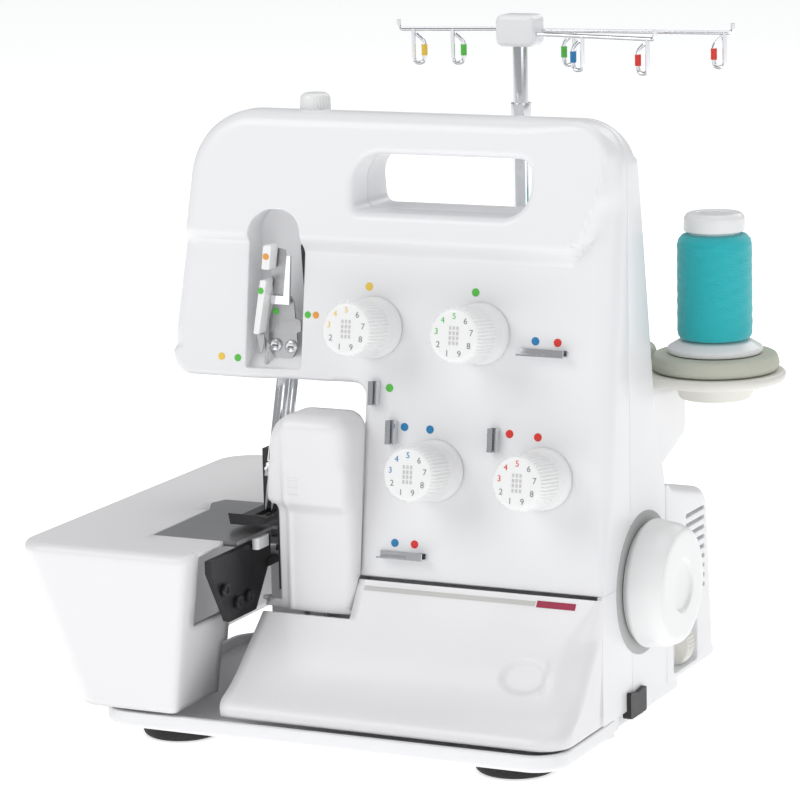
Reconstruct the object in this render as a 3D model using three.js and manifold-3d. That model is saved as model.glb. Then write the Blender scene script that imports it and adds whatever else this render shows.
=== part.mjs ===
// A four-thread overlock (serger) as an assembly of separate solids, in millimetres, +Z up.
// +X is the machine's right as its user sees it, +Y is its back, and the feet stand on z = 0.
import * as THREE from "three";
import { mergeVertices } from "three/addons/utils/BufferGeometryUtils.js";
import Module from "manifold-3d";

const wasm = await Module();
wasm.setup();

// ---------------------------------------------------------------- driving dimensions
const gap = 0.35; // clearance between two pieces that touch or slide
const wall = 2.5; // moulded plastic wall

// machine body
const bodyRight = 109; // right side wall
const columnLeft = -14; // left wall of the column that carries the dials
const headLeft = -114.5; // left end of the arm
const bodyTop = 288; // top of the carrying handle
const armUnderside = 164; // underside of the arm
const seamHeight = 76; // joint between the dial panel and the looper cover
const skirtBottom = 9; // lower edge of the body
const panelLean = Math.atan(0.14); // the dial panel leans back
const panelFootY = -21.4; // front of the panel at the seam
const bodyBack = 56; // rear wall of the column
const backLean = 0.15; // the rear wall leans forward above backBend
const backBend = 118;
const backTopY = bodyBack - backLean * (bodyTop - backBend); // rear wall under the top edge
const shellSplitY = 13; // joint between the front and the rear cover
const proud = 7; // how far the top cover stands in front of the panel
const proudLow = 232; // where the top cover's lip starts
const cavityBackY = -8; // back wall of the looper space

// carrying handle
const gripLeft = -20.5;
const gripRight = 68;
const gripLow = 243.5;
const gripHigh = 270;

// needle recess in the head
const recessLeft = -74;
const recessRight = -47;
const recessTop = 243;
const recessBackY = 8;

// base, cloth plate and looper cover
const baseLeft = -127;
const baseFront = -76;
const baseBack = 82;
const baseFloor = 8; // height of the feet
const baseRim = 16;
const plateTop = 95; // cloth plate and stitch plate, top faces
const stitchFront = -51.5;
const clothLeft = -160;
const clothRight = -67;
const clothFront = -88;
const clothBack = 130;
const clothLow = 18;
const clothTuckX = 24; // the plate's left side leans in by this much
const clothTuckY = 10; // and its front by this much
const coverWingBack = -22; // the looper cover wraps round the right corner to here
const coverFrontLow = -71.5;
const coverLeft = -62;
const coverCorner = 14; // rounded right front corner
const coverHingeY = -69.6; // hinge bar, in a groove at the cover's foot
const coverHingeZ = 18.4;
const hingeBarR = 0.85;
const hingeLeft = -44;
const hingeRight = 93;

// guard in front of the loopers
const guardLeft = -58;
const guardRight = -11.5;
const guardFront = -35.5;
const guardTop = 152.5;
const guardLow = 59;

// motor housing
const motorBack = 119.6;
const motorTop = 112.5;
const motorX = 54;
const motorY = 88;
const motorZ = 50;
const lengthDialR = 12.5; // stitch length thumbwheel
const inletLeft = -5; // appliance inlet in the back
const inletWide = 28;
const inletLow = 26;
const inletHigh = 46;
const inletWall = 3; // plastic round the socket

// shafts and bars
const shaftY = 28.5;
const shaftZ = 72.3;
const shaftR = 5;
const wheelR = 30;
const wheelOut = 18;
const needleX = -67;
const barFootY = 11.6; // needle bar's axis at barFootZ
const barFootZ = 158;
const barLean = Math.atan(0.31); // both bars lean back at the top
const needleBarR = 3.2;
const presserBarR = 3;
const barSpacing = 9.6; // presser bar behind the needle bar
const feedRows = [-5.5, 6.5]; // the two rows of feed teeth, from the needles
const feedToothR = 1.6; // half a row's width
const lifterX = -40; // presser lifter, out of the back of the arm
const lifterZ = 178;
const knobX = -49; // presser foot pressure knob, in the top
const knobY = 18;
const knobR = 7.4;

// dials
const dialR = 13;
const dialHeight = 29.5;
const dialPitch = 53.8;
const dialHighZ = 190.4;
const dialLowZ = 127.2;
const dialHighX = -9.5;
const dialLowX = 24.1;

// spool stand
const standX = 25.4; // pole, and the middle of the tray
const standY = 86;
const spoolPitch = 61.4; // between the two spools on one side
const trayTop = 162.5;
const trayThick = 5;
const trayR = 33;
const padR = 30;
const padHeight = 8;
const spoolR = 17.5;
const spoolHeight = 50;
const poleR = 4.6;
const poleTop = 285;
const rodR = 3.6;
const headHeight = 312; // underside of the thread guide head
const loopDrop = 16; // open loops that hang from the arms
const loopWidth = 5.2;
const wireR = 1.05;

// ---------------------------------------------------------------- helpers
const material = (color, roughness, metalness = 0) =>
  new THREE.MeshStandardMaterial({ color, roughness, metalness });
const white = () => material(0xf0f0f1, 0.32);
const cream = () => material(0xe6e4dc, 0.4);
const black = () => material(0x1b1b1d, 0.5);
const chrome = () => material(0xc9ccd0, 0.16, 1);
const steel = () => material(0x9d9f9f, 0.35, 1);
const alloy = () => material(0xb4b6b8, 0.55, 1);
const rubber = () => material(0x141414, 0.85);

const root = new THREE.Group();

function node(name, geometry, look, parent = root) {
  const mesh = new THREE.Mesh(geometry, look);
  mesh.name = name;
  parent.add(mesh);
  return mesh;
}

// A geometry as a manifold solid, and back.
function solid(geometry) {
  const bare = geometry.clone();
  bare.deleteAttribute("normal");
  bare.deleteAttribute("uv");
  const merged = mergeVertices(bare, 1e-4);
  return new wasm.Manifold(
    new wasm.Mesh({
      numProp: 3,
      vertProperties: new Float32Array(merged.attributes.position.array),
      triVerts: new Uint32Array(merged.index.array),
    }),
  );
}

function shape(manifold) {
  const mesh = manifold.getMesh();
  const geometry = new THREE.BufferGeometry();
  geometry.setAttribute("position", new THREE.BufferAttribute(new Float32Array(mesh.vertProperties), 3));
  geometry.setIndex(new THREE.BufferAttribute(new Uint32Array(mesh.triVerts), 1));
  geometry.computeVertexNormals();
  return geometry;
}

const union = (...parts) => parts.reduce((all, part) => all.add(part));

// An outline from corners [u, v, radius], given counter-clockwise; a radius rounds its corner.
function outline(corners, steps = 4) {
  const points = [];
  const count = corners.length;
  corners.forEach(([u, v, radius = 0], i) => {
    const here = new THREE.Vector2(u, v);
    if (radius < 0.05) {
      points.push(here);
      return;
    }
    const before = new THREE.Vector2(...corners[(i + count - 1) % count]).sub(here).normalize();
    const after = new THREE.Vector2(...corners[(i + 1) % count]).sub(here).normalize();
    const half = Math.acos(THREE.MathUtils.clamp(before.dot(after), -1, 1)) / 2;
    const middle = before.clone().add(after).normalize().multiplyScalar(radius / Math.sin(half)).add(here);
    const start = here.clone().addScaledVector(before, radius / Math.tan(half)).sub(middle);
    const end = here.clone().addScaledVector(after, radius / Math.tan(half)).sub(middle);
    const sweep = Math.atan2(start.cross(end), start.dot(end));
    for (let k = 0; k <= steps; k += 1) {
      const turned = start.clone().rotateAround(new THREE.Vector2(), (sweep * k) / steps);
      points.push(turned.add(middle));
    }
  });
  return points;
}

// The same corners moved inwards by a distance (outwards when it is negative).
function inset(corners, distance) {
  const count = corners.length;
  return corners.map(([u, v, radius = 0], i) => {
    const here = new THREE.Vector2(u, v);
    const arriving = here.clone().sub(new THREE.Vector2(...corners[(i + count - 1) % count])).normalize();
    const leaving = new THREE.Vector2(...corners[(i + 1) % count]).sub(here).normalize();
    const scale = distance / (1 + arriving.dot(leaving));
    const convex = arriving.cross(leaving) > 0;
    const grown = convex ? radius - distance : radius + distance;
    return [
      u + (-arriving.y - leaving.y) * scale,
      v + (arriving.x + leaving.x) * scale,
      radius > 0 ? Math.max(grown, 0) : 0,
    ];
  });
}

const extruded = (points, depth) =>
  new THREE.ExtrudeGeometry(new THREE.Shape(points), { depth, bevelEnabled: false, curveSegments: 1 });

// Prisms: an outline in (x, y), (x, z) or (y, z), carried along the third axis.
const prismXY = (points, low, high) => extruded(points, high - low).translate(0, 0, low);
const prismXZ = (points, low, high) =>
  extruded(points, high - low).rotateX(Math.PI / 2).translate(0, high, 0);
const prismYZ = (points, low, high) =>
  extruded(points, high - low).rotateX(Math.PI / 2).rotateZ(Math.PI / 2).translate(low, 0, 0);

const rectangle = (u0, v0, u1, v1, radius = 0) => [
  [u0, v0, radius],
  [u1, v0, radius],
  [u1, v1, radius],
  [u0, v1, radius],
];

// A box between two opposite corners.
function box(x0, y0, z0, x1, y1, z1) {
  const geometry = new THREE.BoxGeometry(x1 - x0, y1 - y0, z1 - z0);
  return geometry.translate((x0 + x1) / 2, (y0 + y1) / 2, (z0 + z1) / 2);
}

// A turned piece from [radius, height] pairs, from the axis at its foot to the axis at its top.
function turned(profile, sides = 24) {
  const points = profile.map(([radius, height]) => new THREE.Vector2(radius, height));
  return new THREE.LatheGeometry(points, sides).rotateX(Math.PI / 2);
}

const rod = (radius, low, high, sides = 16) =>
  turned([[0, low], [radius, low], [radius, high], [0, high]], sides);

// A turned piece laid along +X.
const alongX = (geometry) => geometry.rotateY(Math.PI / 2);

// A round wire through points, with softened corners.
function wire(points, radius, bend, sides = 8, bendSteps = 3) {
  const path = new THREE.CurvePath();
  const corners = points.map((p) => new THREE.Vector3(...p));
  let from = corners[0];
  for (let i = 1; i < corners.length - 1; i += 1) {
    const arriving = corners[i].clone().sub(corners[i - 1]);
    const leaving = corners[i + 1].clone().sub(corners[i]);
    const reach = Math.min(bend, arriving.length() * 0.45, leaving.length() * 0.45);
    const before = corners[i].clone().addScaledVector(arriving.normalize(), -reach);
    const after = corners[i].clone().addScaledVector(leaving.normalize(), reach);
    path.add(new THREE.LineCurve3(from, before));
    path.add(new THREE.QuadraticBezierCurve3(before, corners[i], after));
    from = after;
  }
  path.add(new THREE.LineCurve3(from, corners[corners.length - 1]));
  const stations = [];
  path.curves.forEach((piece, k) => {
    const steps = piece.isLineCurve3 ? 1 : bendSteps;
    const first = k === 0 ? 0 : 1;
    for (let s = first; s <= steps; s += 1) stations.push(piece.getPoint(s / steps));
  });
  const route = new Stations(stations);
  const round = Array.from({ length: sides }, (_, i) => {
    const angle = (i * 2 * Math.PI) / sides;
    return new THREE.Vector2(Math.cos(angle) * radius, Math.sin(angle) * radius);
  });
  return new THREE.ExtrudeGeometry(new THREE.Shape(round), {
    steps: stations.length - 1,
    extrudePath: route,
    curveSegments: 1,
    bevelEnabled: false,
  });
}

// A polyline sampled exactly at its own points.
class Stations extends THREE.Curve {
  constructor(points) {
    super();
    this.points = points;
  }

  getPoint(t, target = new THREE.Vector3()) {
    const place = t * (this.points.length - 1);
    const index = Math.min(Math.floor(place), this.points.length - 2);
    return target.lerpVectors(this.points[index], this.points[index + 1], place - index);
  }

  getPointAt(t, target) {
    return this.getPoint(t, target);
  }

  getTangent(t, target = new THREE.Vector3()) {
    const last = this.points.length - 1;
    const index = Math.round(t * last);
    const ahead = this.points[Math.min(index + 1, last)];
    const behind = this.points[Math.max(index - 1, 0)];
    return target.subVectors(ahead, behind).normalize();
  }

  getTangentAt(t, target) {
    return this.getTangent(t, target);
  }
}

// ---------------------------------------------------------------- surfaces that pieces share
const lean = Math.tan(panelLean);
const panelY = (z) => panelFootY + lean * (z - seamHeight);
const backY = (z) => bodyBack - backLean * Math.max(z - backBend, 0);
const barY = (z) => barFootY + Math.tan(barLean) * (z - barFootZ);

// The dial panel's own frame: x to the right, y up the panel, z out of it.
const panel = new THREE.Group();
panel.position.set(0, panelY(seamHeight), seamHeight);
panel.rotation.x = Math.PI / 2 - panelLean;
root.add(panel);
const upPanel = (z) => (z - seamHeight) / Math.cos(panelLean);

// ---------------------------------------------------------------- body covers
function bodySolid(thickness) {
  const frontTopY = panelY(bodyTop) - proud;
  // The two roundings of the top edge shrink with it when the body is thin there.
  const topRounding = Math.min(1, (backTopY - frontTopY) / 29);
  const front = [
    [columnLeft, skirtBottom],
    [bodyRight, skirtBottom],
    [bodyRight, bodyTop, 22],
    [headLeft + 9.5, bodyTop, 34],
    [headLeft, 185, 20],
    [headLeft + 1, armUnderside, 11],
    [columnLeft, armUnderside, 6],
  ];
  const side = [
    [cavityBackY, skirtBottom],
    [bodyBack, skirtBottom],
    [bodyBack, backBend],
    [backTopY, bodyTop, 22 * topRounding],
    [frontTopY, bodyTop, 8 * topRounding],
    [panelY(proudLow) - proud, proudLow, 5],
    [panelY(proudLow - 9), proudLow - 9, 6],
    [panelFootY, seamHeight + gap, 1],
    [cavityBackY, seamHeight + gap],
  ];
  const frontView = prismXZ(outline(inset(front, thickness), 5), -60, 90);
  const sideView = prismYZ(outline(inset(side, thickness), 4), headLeft - 20, bodyRight + 20);
  return solid(frontView).intersect(solid(sideView));
}

function gripHole(growth) {
  const corners = [
    [gripLeft, gripLow, 4],
    [gripRight, gripLow, 14],
    [gripRight, gripHigh, 6],
    [gripLeft, gripHigh, 14],
  ];
  return solid(prismXZ(outline(inset(corners, -growth), 4), -60, 90));
}

function needleRecess(growth) {
  const arch = [
    [recessLeft, 150],
    [recessRight, 150],
    [recessRight, recessTop, 11],
    [recessLeft, recessTop, 13],
  ];
  const depth = [
    [-60, armUnderside + 5],
    [panelY(armUnderside), armUnderside + 5],
    [recessBackY - 3, armUnderside + 20, 8],
    [recessBackY, recessTop + 20],
    [-60, recessTop + 20],
  ];
  const frontView = prismXZ(outline(inset(arch, -growth), 4), -60, 40);
  const sideView = prismYZ(outline(inset(depth, -growth), 3), recessLeft - 10, recessRight + 10);
  return solid(frontView).intersect(solid(sideView));
}

function bodyCovers() {
  const knobHole = solid(rod(knobR + 0.4, bodyTop - 20, bodyTop + 12, 20).translate(knobX, knobY, 0));
  const barSlot = solid(box(needleX - 5.5, 6, 150, needleX + 5.5, 31, 175));
  const shaftHole = solid(alongX(rod(shaftR + 1.5, 90, 130)).translate(0, shaftY, shaftZ));
  const sideWindow = solid(box(columnLeft - 5, -4, 4, columnLeft + 6, 52, 88));
  const lifterSlot = solid(box(lifterX - 7.5, 38, lifterZ - 5, lifterX + 7.5, 62, lifterZ + 22));
  const backWindow = solid(box(-6, 50, 12, 103, 60, 104));
  const floorOpening = solid(
    box(columnLeft + wall, cavityBackY + wall, 0, bodyRight - wall, bodyBack - wall, 20),
  );
  const switchWindow = solid(box(bodyRight - 5, 4.8, 11.4, bodyRight + 2, 26.2, 26.4));
  const takeUpSlot = solid(
    prismXZ(outline([[-52.5, 203], [-51, 203], [-49.6, 226, 1.6], [-53.8, 226, 1.6]], 3), -10, 20),
  );
  const outer = bodySolid(0).subtract(gripHole(0)).subtract(needleRecess(0));
  const inner = bodySolid(wall).subtract(gripHole(wall)).subtract(needleRecess(wall));
  const shell = outer
    .subtract(inner)
    .subtract(floorOpening)
    .subtract(knobHole)
    .subtract(barSlot)
    .subtract(shaftHole)
    .subtract(sideWindow)
    .subtract(backWindow)
    .subtract(lifterSlot)
    .subtract(switchWindow)
    .subtract(takeUpSlot);
  const frontHalf = solid(box(-200, -100, 0, 200, shellSplitY - gap / 2, 400));
  const rearHalf = solid(box(-200, shellSplitY + gap / 2, 0, 200, 200, 400));
  // The right wall reaches forward of the looper space, to the looper cover's wing.
  const cheek = solid(
    box(bodyRight - wall, coverWingBack + gap, baseRim + gap, bodyRight, cavityBackY + 1, seamHeight + 1),
  );
  node("front_cover", shape(shell.intersect(frontHalf).add(cheek)), white());
  node("rear_cover", shape(shell.intersect(rearHalf)), white());
}

function motorCover() {
  const left = columnLeft;
  const profile = [
    [bodyBack + gap, skirtBottom],
    [baseBack, skirtBottom],
    [baseBack + 4, 15],
    [motorBack, 16.5, 4],
    [motorBack - 7.6, 102, 14],
    [bodyBack + gap, motorTop],
  ];
  const outer = solid(prismYZ(outline(profile, 4), left, bodyRight));
  const hollow = solid(prismYZ(outline(inset(profile, wall), 4), left + wall, bodyRight - wall));
  const mouth = solid(box(left + wall, bodyBack - 2, 12, bodyRight - wall, bodyBack + 6, 100));
  let cover = outer.subtract(hollow).subtract(mouth);
  const ventStep = 4.7;
  for (let i = 0; i < 9; i += 1) {
    const z = 53 + i * ventStep;
    cover = cover.subtract(solid(box(bodyRight - 4, 82, z, bodyRight + 2, 106, z + 1.9)));
  }
  const dialWindow = solid(box(bodyRight - 5, 65, 19, bodyRight + 2, 96, 39.5));
  const inletRight = inletLeft + inletWide;
  const inletWindow = solid(
    box(inletLeft - gap, motorBack - 12, inletLow - gap, inletRight + gap, motorBack + 4, inletHigh + gap),
  );
  cover = cover.subtract(dialWindow).subtract(inletWindow);
  node("motor_cover", shape(cover), white());
}

// ---------------------------------------------------------------- base, feet and frame
function baseTray() {
  const corners = [
    [baseLeft, baseFront, 22],
    [bodyRight, baseFront, 16],
    [bodyRight, cavityBackY - gap],
    [bodyRight - wall - gap, cavityBackY - gap],
    [bodyRight - wall - gap, baseBack - wall - gap, 3],
    [baseLeft, baseBack - wall - gap, 18],
  ];
  const outer = solid(prismXY(outline(corners), baseFloor, baseRim));
  const hollow = solid(prismXY(outline(inset(corners, wall)), baseFloor + 3, baseRim + 5));
  const rearCut = solid(box(columnLeft - 1, cavityBackY - 1, baseFloor + 0.7, 200, baseBack + 5, 40));
  const floor = solid(
    box(columnLeft - 2, cavityBackY - 2, baseFloor, bodyRight - 7, baseBack - 5, baseFloor + 0.65),
  );
  node("base_tray", shape(outer.subtract(hollow).subtract(rearCut).add(floor)), white());
}

function feet() {
  const profile = [
    [0, 0],
    [17, 0],
    [18.5, 1.5],
    [19, baseFloor - gap],
    [0, baseFloor - gap],
  ];
  const places = {
    front_left: [-93.5, -48],
    front_right: [76.5, -46],
    rear_left: [-93.5, 56],
    rear_right: [76.5, 56],
  };
  for (const [name, [x, y]] of Object.entries(places)) {
    node(`foot_${name}`, turned(profile, 20), rubber()).position.set(x, y, 0);
  }
}

function innerFrame() {
  const bed = solid(box(-58, -2, 14, 100, 48, 18));
  const uprightPlaces = [
    [-58, 84],
    [-30, 84],
    [60, 100],
  ];
  const uprights = uprightPlaces.map(([x, top]) => solid(box(x, 4, 14, x + 6, 48, top)));
  const bedArm = solid(box(-100, -4, 80, -24, 44, 87));
  const pillar = solid(box(48, 14, 90, 66, 30, 192));
  const beam = solid(box(-80, 14, 178, 66, 30, 192));
  const nose = solid(box(-80, 13, 178, -54, 37, 192));
  let frame = union(bed, ...uprights, bedArm, pillar, beam, nose);
  frame = frame.subtract(solid(alongX(rod(13.3, 59, 67, 24)).translate(0, shaftY, shaftZ)));
  frame = frame.subtract(solid(alongX(rod(shaftR + gap, -35, -20, 16)).translate(0, shaftY, shaftZ)));
  frame = frame.subtract(tilted(rod(needleBarR + 0.15, -40, 60), needleX, 0));
  frame = frame.subtract(tilted(rod(presserBarR + 0.15, -40, 60), needleX, barSpacing));
  frame = frame.subtract(solid(box(needleX - 8, -20, 79, needleX + 10, 22, 88)));
  node("inner_frame", shape(frame), alloy());
}

// Moves a piece made along +Z at the origin onto the bars' leaning axis.
function tilted(geometry, x, behind) {
  const leaning = geometry.rotateX(-barLean).translate(x, barFootY + behind, barFootZ);
  return solid(leaning);
}

// ---------------------------------------------------------------- bed, cloth plate, stitch plate
function bedCover() {
  const low = baseRim + 4;
  const high = plateTop - 3;
  const x0 = clothRight + 1.2;
  const x1 = columnLeft - gap;
  const back = 78;
  const section = rectangle(cavityBackY, low, back, high, 4);
  const inside = rectangle(cavityBackY + wall, low - 5, back - wall, high - wall, 2);
  const outer = solid(prismYZ(outline(section), x0, x1));
  const hollow = solid(prismYZ(outline(inside), x0 - 5, x1 + 5));
  const mouth = solid(box(x0 - 5, cavityBackY - 5, plateTop - 12, -55, 30, plateTop + 5));
  node("bed_cover", shape(outer.subtract(hollow).subtract(mouth)), white());
}

function stitchPlateCorners() {
  return [
    [-104, stitchFront],
    [-57.5, stitchFront],
    [-57.5, 27],
    [-108, 27],
    [-111, 18],
    [-105, 6],
  ];
}

function stitchPlate() {
  const low = plateTop - 1.6;
  const plate = solid(prismXY(stitchPlateCorners().map((p) => new THREE.Vector2(...p)), low, plateTop));
  const needleSlot = solid(box(needleX - 3, -14, 90, needleX + 4, -4, 100));
  const feedSlots = feedRows.map((x) => {
    const reach = feedToothR + 0.6;
    return solid(box(needleX + x - reach, 1, 90, needleX + x + reach, 20, 100));
  });
  const knifeSlot = solid(box(-60, -54, 90, -50, -16, 100));
  const cut = union(needleSlot, ...feedSlots, knifeSlot);
  node("stitch_plate", shape(plate.subtract(cut)), steel());
}

function clothPlate() {
  // Section of the box at a height: it tucks in towards its foot.
  const rise = plateTop - clothLow;
  const taper = (growth) => {
    const foot = growth > 0 ? clothLow - 5 : clothLow;
    const levels = [foot, plateTop - 7 - growth, plateTop - 2 - growth, plateTop - growth];
    const inwards = [0, 0, 2.2, 8];
    const rings = levels.map((z, k) => {
      const share = Math.min((plateTop - z) / rise, 1.2);
      const left = clothLeft + clothTuckX * share + growth + inwards[k];
      const front = clothFront + clothTuckY * share + growth + inwards[k];
      const right = clothRight + 14 * share - growth;
      const back = clothBack - growth - inwards[k];
      return outline([[left, front, 12], [right, front, 2], [right, back, 2], [left, back, 14]], 4)
        .map((p) => new THREE.Vector3(p.x, p.y, z));
    });
    return solid(loft(rings));
  };
  const outer = taper(0);
  const hollow = taper(wall);
  const windowLow = clothLow + 40;
  const side = [
    [clothFront + 18, windowLow, 4],
    [clothBack + 70, windowLow],
    [clothBack + 70, plateTop - 2],
    [clothFront + 13, plateTop - 2],
  ];
  const sideOpening = solid(prismYZ(outline(side), clothRight - 12, -20));
  const rearOpening = solid(box(clothRight - 12, -36, -10, -20, 200, 70));
  const grown = inset(stitchPlateCorners(), -gap);
  const seatCorners = [grown[0], [-20, stitchFront - gap], [-20, 27 + gap], ...grown.slice(3)];
  const seat = solid(prismXY(outline(seatCorners), 80, 120));
  const freeRight = solid(box(clothRight, -400, windowLow, 0, 400, 200));
  const plate = outer
    .subtract(hollow)
    .subtract(sideOpening)
    .subtract(rearOpening)
    .subtract(seat)
    .subtract(freeRight);
  node("cloth_plate", shape(plate), white());
}

// A closed solid through rings of equal point counts, from the lowest to the highest.
function loft(rings) {
  const count = rings[0].length;
  const positions = rings.flat().flatMap((p) => [p.x, p.y, p.z]);
  const faces = [];
  for (let r = 0; r < rings.length - 1; r += 1) {
    for (let i = 0; i < count; i += 1) {
      const a = r * count + i;
      const b = r * count + ((i + 1) % count);
      faces.push(a, b, b + count, a, b + count, a + count);
    }
  }
  const flat = (ring) => ring.map((p) => new THREE.Vector2(p.x, p.y));
  const caps = THREE.ShapeUtils.triangulateShape(flat(rings[0]), []);
  const top = (rings.length - 1) * count;
  caps.forEach(([a, b, c]) => faces.push(c, b, a, top + a, top + b, top + c));
  const geometry = new THREE.BufferGeometry();
  geometry.setAttribute("position", new THREE.Float32BufferAttribute(positions, 3));
  geometry.setIndex(faces);
  return geometry;
}

function knifeBracket() {
  const profile = [
    [-72, 84],
    [-56, 58],
    [-30, 58],
    [-14, 80],
    [-14, 90],
    [-72, 90],
  ];
  const plate = solid(prismYZ(outline(profile), clothRight + 1, clothRight + 4.5));
  const lug = solid(box(clothRight + 1, -18, 76, clothRight + 5.5, cavityBackY - gap, 79.6));
  node("knife_bracket", shape(plate.add(lug)), black());
}

// ---------------------------------------------------------------- looper cover with its guard
function looperCover() {
  // Front face of the cover at five heights, from its foot to the seam.
  const front = [
    [baseRim + 1.2, coverFrontLow],
    [baseRim + 5, coverFrontLow + 0.6],
    [30, -59.5],
    [47, -45],
    [62, -33.5],
    [70, -28.2],
    [seamHeight - gap, panelFootY - 3],
  ];
  const skin = (thickness, back) => {
    const rings = front.map(([z, y]) => {
      const right = bodyRight - thickness;
      const foot = y + thickness * 1.3;
      const corner = Math.min(coverCorner - thickness, back - foot - 0.3);
      const corners = [
        [coverLeft, foot],
        [right, foot, corner],
        [right, back],
        [coverLeft, back],
      ];
      return outline(corners, 5).map((p) => new THREE.Vector3(p.x, p.y, z));
    });
    return rings;
  };
  const outer = solid(loft(skin(0, coverWingBack)));
  const lowered = skin(wall, 40);
  lowered.forEach((ring, i) => ring.forEach((p) => {
    p.z -= i === 0 ? 8 : wall * 0.8;
  }));
  const hollow = solid(loft(lowered));
  // The left edge leans like the cloth plate's edge, and leaves the knife free.
  const edge = [
    [guardLeft + 11, baseRim - 5],
    [bodyRight + 10, baseRim - 5],
    [bodyRight + 10, 200],
    [guardLeft + 2, 200],
    [guardLeft + 2, guardLow],
    [guardLeft + 6, 36],
  ];
  const trimmed = solid(prismXZ(outline(edge), -100, 60));
  const guardSeat = solid(box(coverLeft - 5, -60, guardLow, guardRight + gap, 20, 90));
  const room = hingeBarR + 0.3;
  const groove = solid(
    box(hingeLeft - 2, coverHingeY - room, 0, hingeRight + 2, coverHingeY + 5, coverHingeZ + room),
  );
  const cover = outer.subtract(hollow).intersect(trimmed).subtract(guardSeat).subtract(groove);
  node("looper_cover", shape(cover), white());
}

function guard() {
  const side = [
    [guardFront + 4.5, guardLow + gap],
    [panelFootY - 3, guardLow + gap],
    [panelFootY - 0.8, seamHeight],
    [panelY(guardTop) - 0.8, guardTop, 6],
    [guardFront, guardTop, 9],
    [guardFront, 112, 4],
    [guardFront + 4.5, 106.5, 3],
  ];
  const front = [
    [guardLeft - 2, guardLow],
    [guardRight, guardLow, 3],
    [guardRight, guardTop, 6],
    [guardLeft + 5, guardTop, 12],
  ];
  const outer = solid(prismYZ(outline(side, 4), -90, 20)).intersect(
    solid(prismXZ(outline(front, 4), -90, 20)),
  );
  const hollow = inset(side, wall);
  hollow[1] = [40, hollow[1][1]];
  hollow[2] = [40, seamHeight];
  hollow[3] = [40, guardTop - wall];
  const inner = solid(prismYZ(outline(hollow, 4), -90, 20)).intersect(
    solid(prismXZ(outline(inset(front, wall), 4), -90, 60)),
  );
  // The left side is open where the knife works, so that the guard can slide past it.
  const knifeGap = solid(box(guardLeft - 5, guardFront + 5, guardLow + 4, guardLeft + 12, 20, 126));
  node("cover_guard", shape(outer.subtract(inner).subtract(knifeGap)), white());
  const bar = alongX(rod(hingeBarR, hingeLeft, hingeRight, 10));
  node("cover_hinge_bar", bar.translate(0, coverHingeY, coverHingeZ), steel());
}

// ---------------------------------------------------------------- drive
function drive() {
  node("main_shaft", alongX(rod(shaftR, -40, bodyRight + 0.4, 16)).translate(0, shaftY, shaftZ), steel());
  const pulleyX = 92;
  const race = solid(alongX(rod(13, 60, 66, 24)));
  const bore = solid(alongX(rod(shaftR + gap, 55, 70, 16)));
  node("shaft_bearing", shape(race.subtract(bore)).translate(0, shaftY, shaftZ), steel());
  const pulley = solid(alongX(rod(16, pulleyX, pulleyX + 9, 24)));
  const pulleyBore = solid(alongX(rod(shaftR + 0.15, pulleyX - 5, pulleyX + 15, 16)));
  node("shaft_pulley", shape(pulley.subtract(pulleyBore)).translate(0, shaftY, shaftZ), black());
  const wheel = [
    [0, 0],
    [wheelR - 2, 0],
    [wheelR, 2],
    [wheelR - 1.6, wheelOut - 5],
    [wheelR - 5, wheelOut],
    [12.5, wheelOut],
    [9, wheelOut - 2.6],
    [0, wheelOut - 3.4],
  ];
  node("handwheel", alongX(turned(wheel, 36)).translate(bodyRight + 0.8, shaftY, shaftZ), white());
  const can = [
    [0, 0],
    [21, 0],
    [22.5, 2],
    [22.5, 52],
    [20, 56],
    [0, 56],
  ];
  node("motor", alongX(turned(can, 24)).translate(motorX - 26, motorY, motorZ), steel());
  const motorPulley = [
    [0, 0],
    [2.5, 0],
    [2.5, pulleyX - motorX - 31],
    [6, pulleyX - motorX - 31],
    [6, pulleyX - motorX - 22],
    [0, pulleyX - motorX - 22],
  ];
  node("motor_pulley", alongX(turned(motorPulley, 20)).translate(motorX + 31, motorY, motorZ), black());
  node("drive_belt", belt(16.7, 6.5, 1.4, pulleyX + 0.5, pulleyX + 8), rubber());
}

// A belt round the two pulleys: the convex outline of two circles, with its own thickness.
function belt(bigR, smallR, thick, x0, x1) {
  const across = new THREE.Vector2(motorY - shaftY, motorZ - shaftZ);
  const heading = across.angle();
  const loop = (growth) => {
    const open = Math.acos((bigR - smallR) / across.length());
    const points = [];
    const arc = (cy, cz, radius, from, to) => {
      for (let k = 0; k <= 8; k += 1) {
        const angle = from + ((to - from) * k) / 8;
        points.push(new THREE.Vector2(cy + radius * Math.cos(angle), cz + radius * Math.sin(angle)));
      }
    };
    arc(motorY, motorZ, smallR + growth, heading - open, heading + open);
    arc(shaftY, shaftZ, bigR + growth, heading + open, heading + 2 * Math.PI - open);
    return points;
  };
  return shape(solid(prismYZ(loop(thick), x0, x1)).subtract(solid(prismYZ(loop(0), x0 - 1, x1 + 1))));
}

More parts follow.
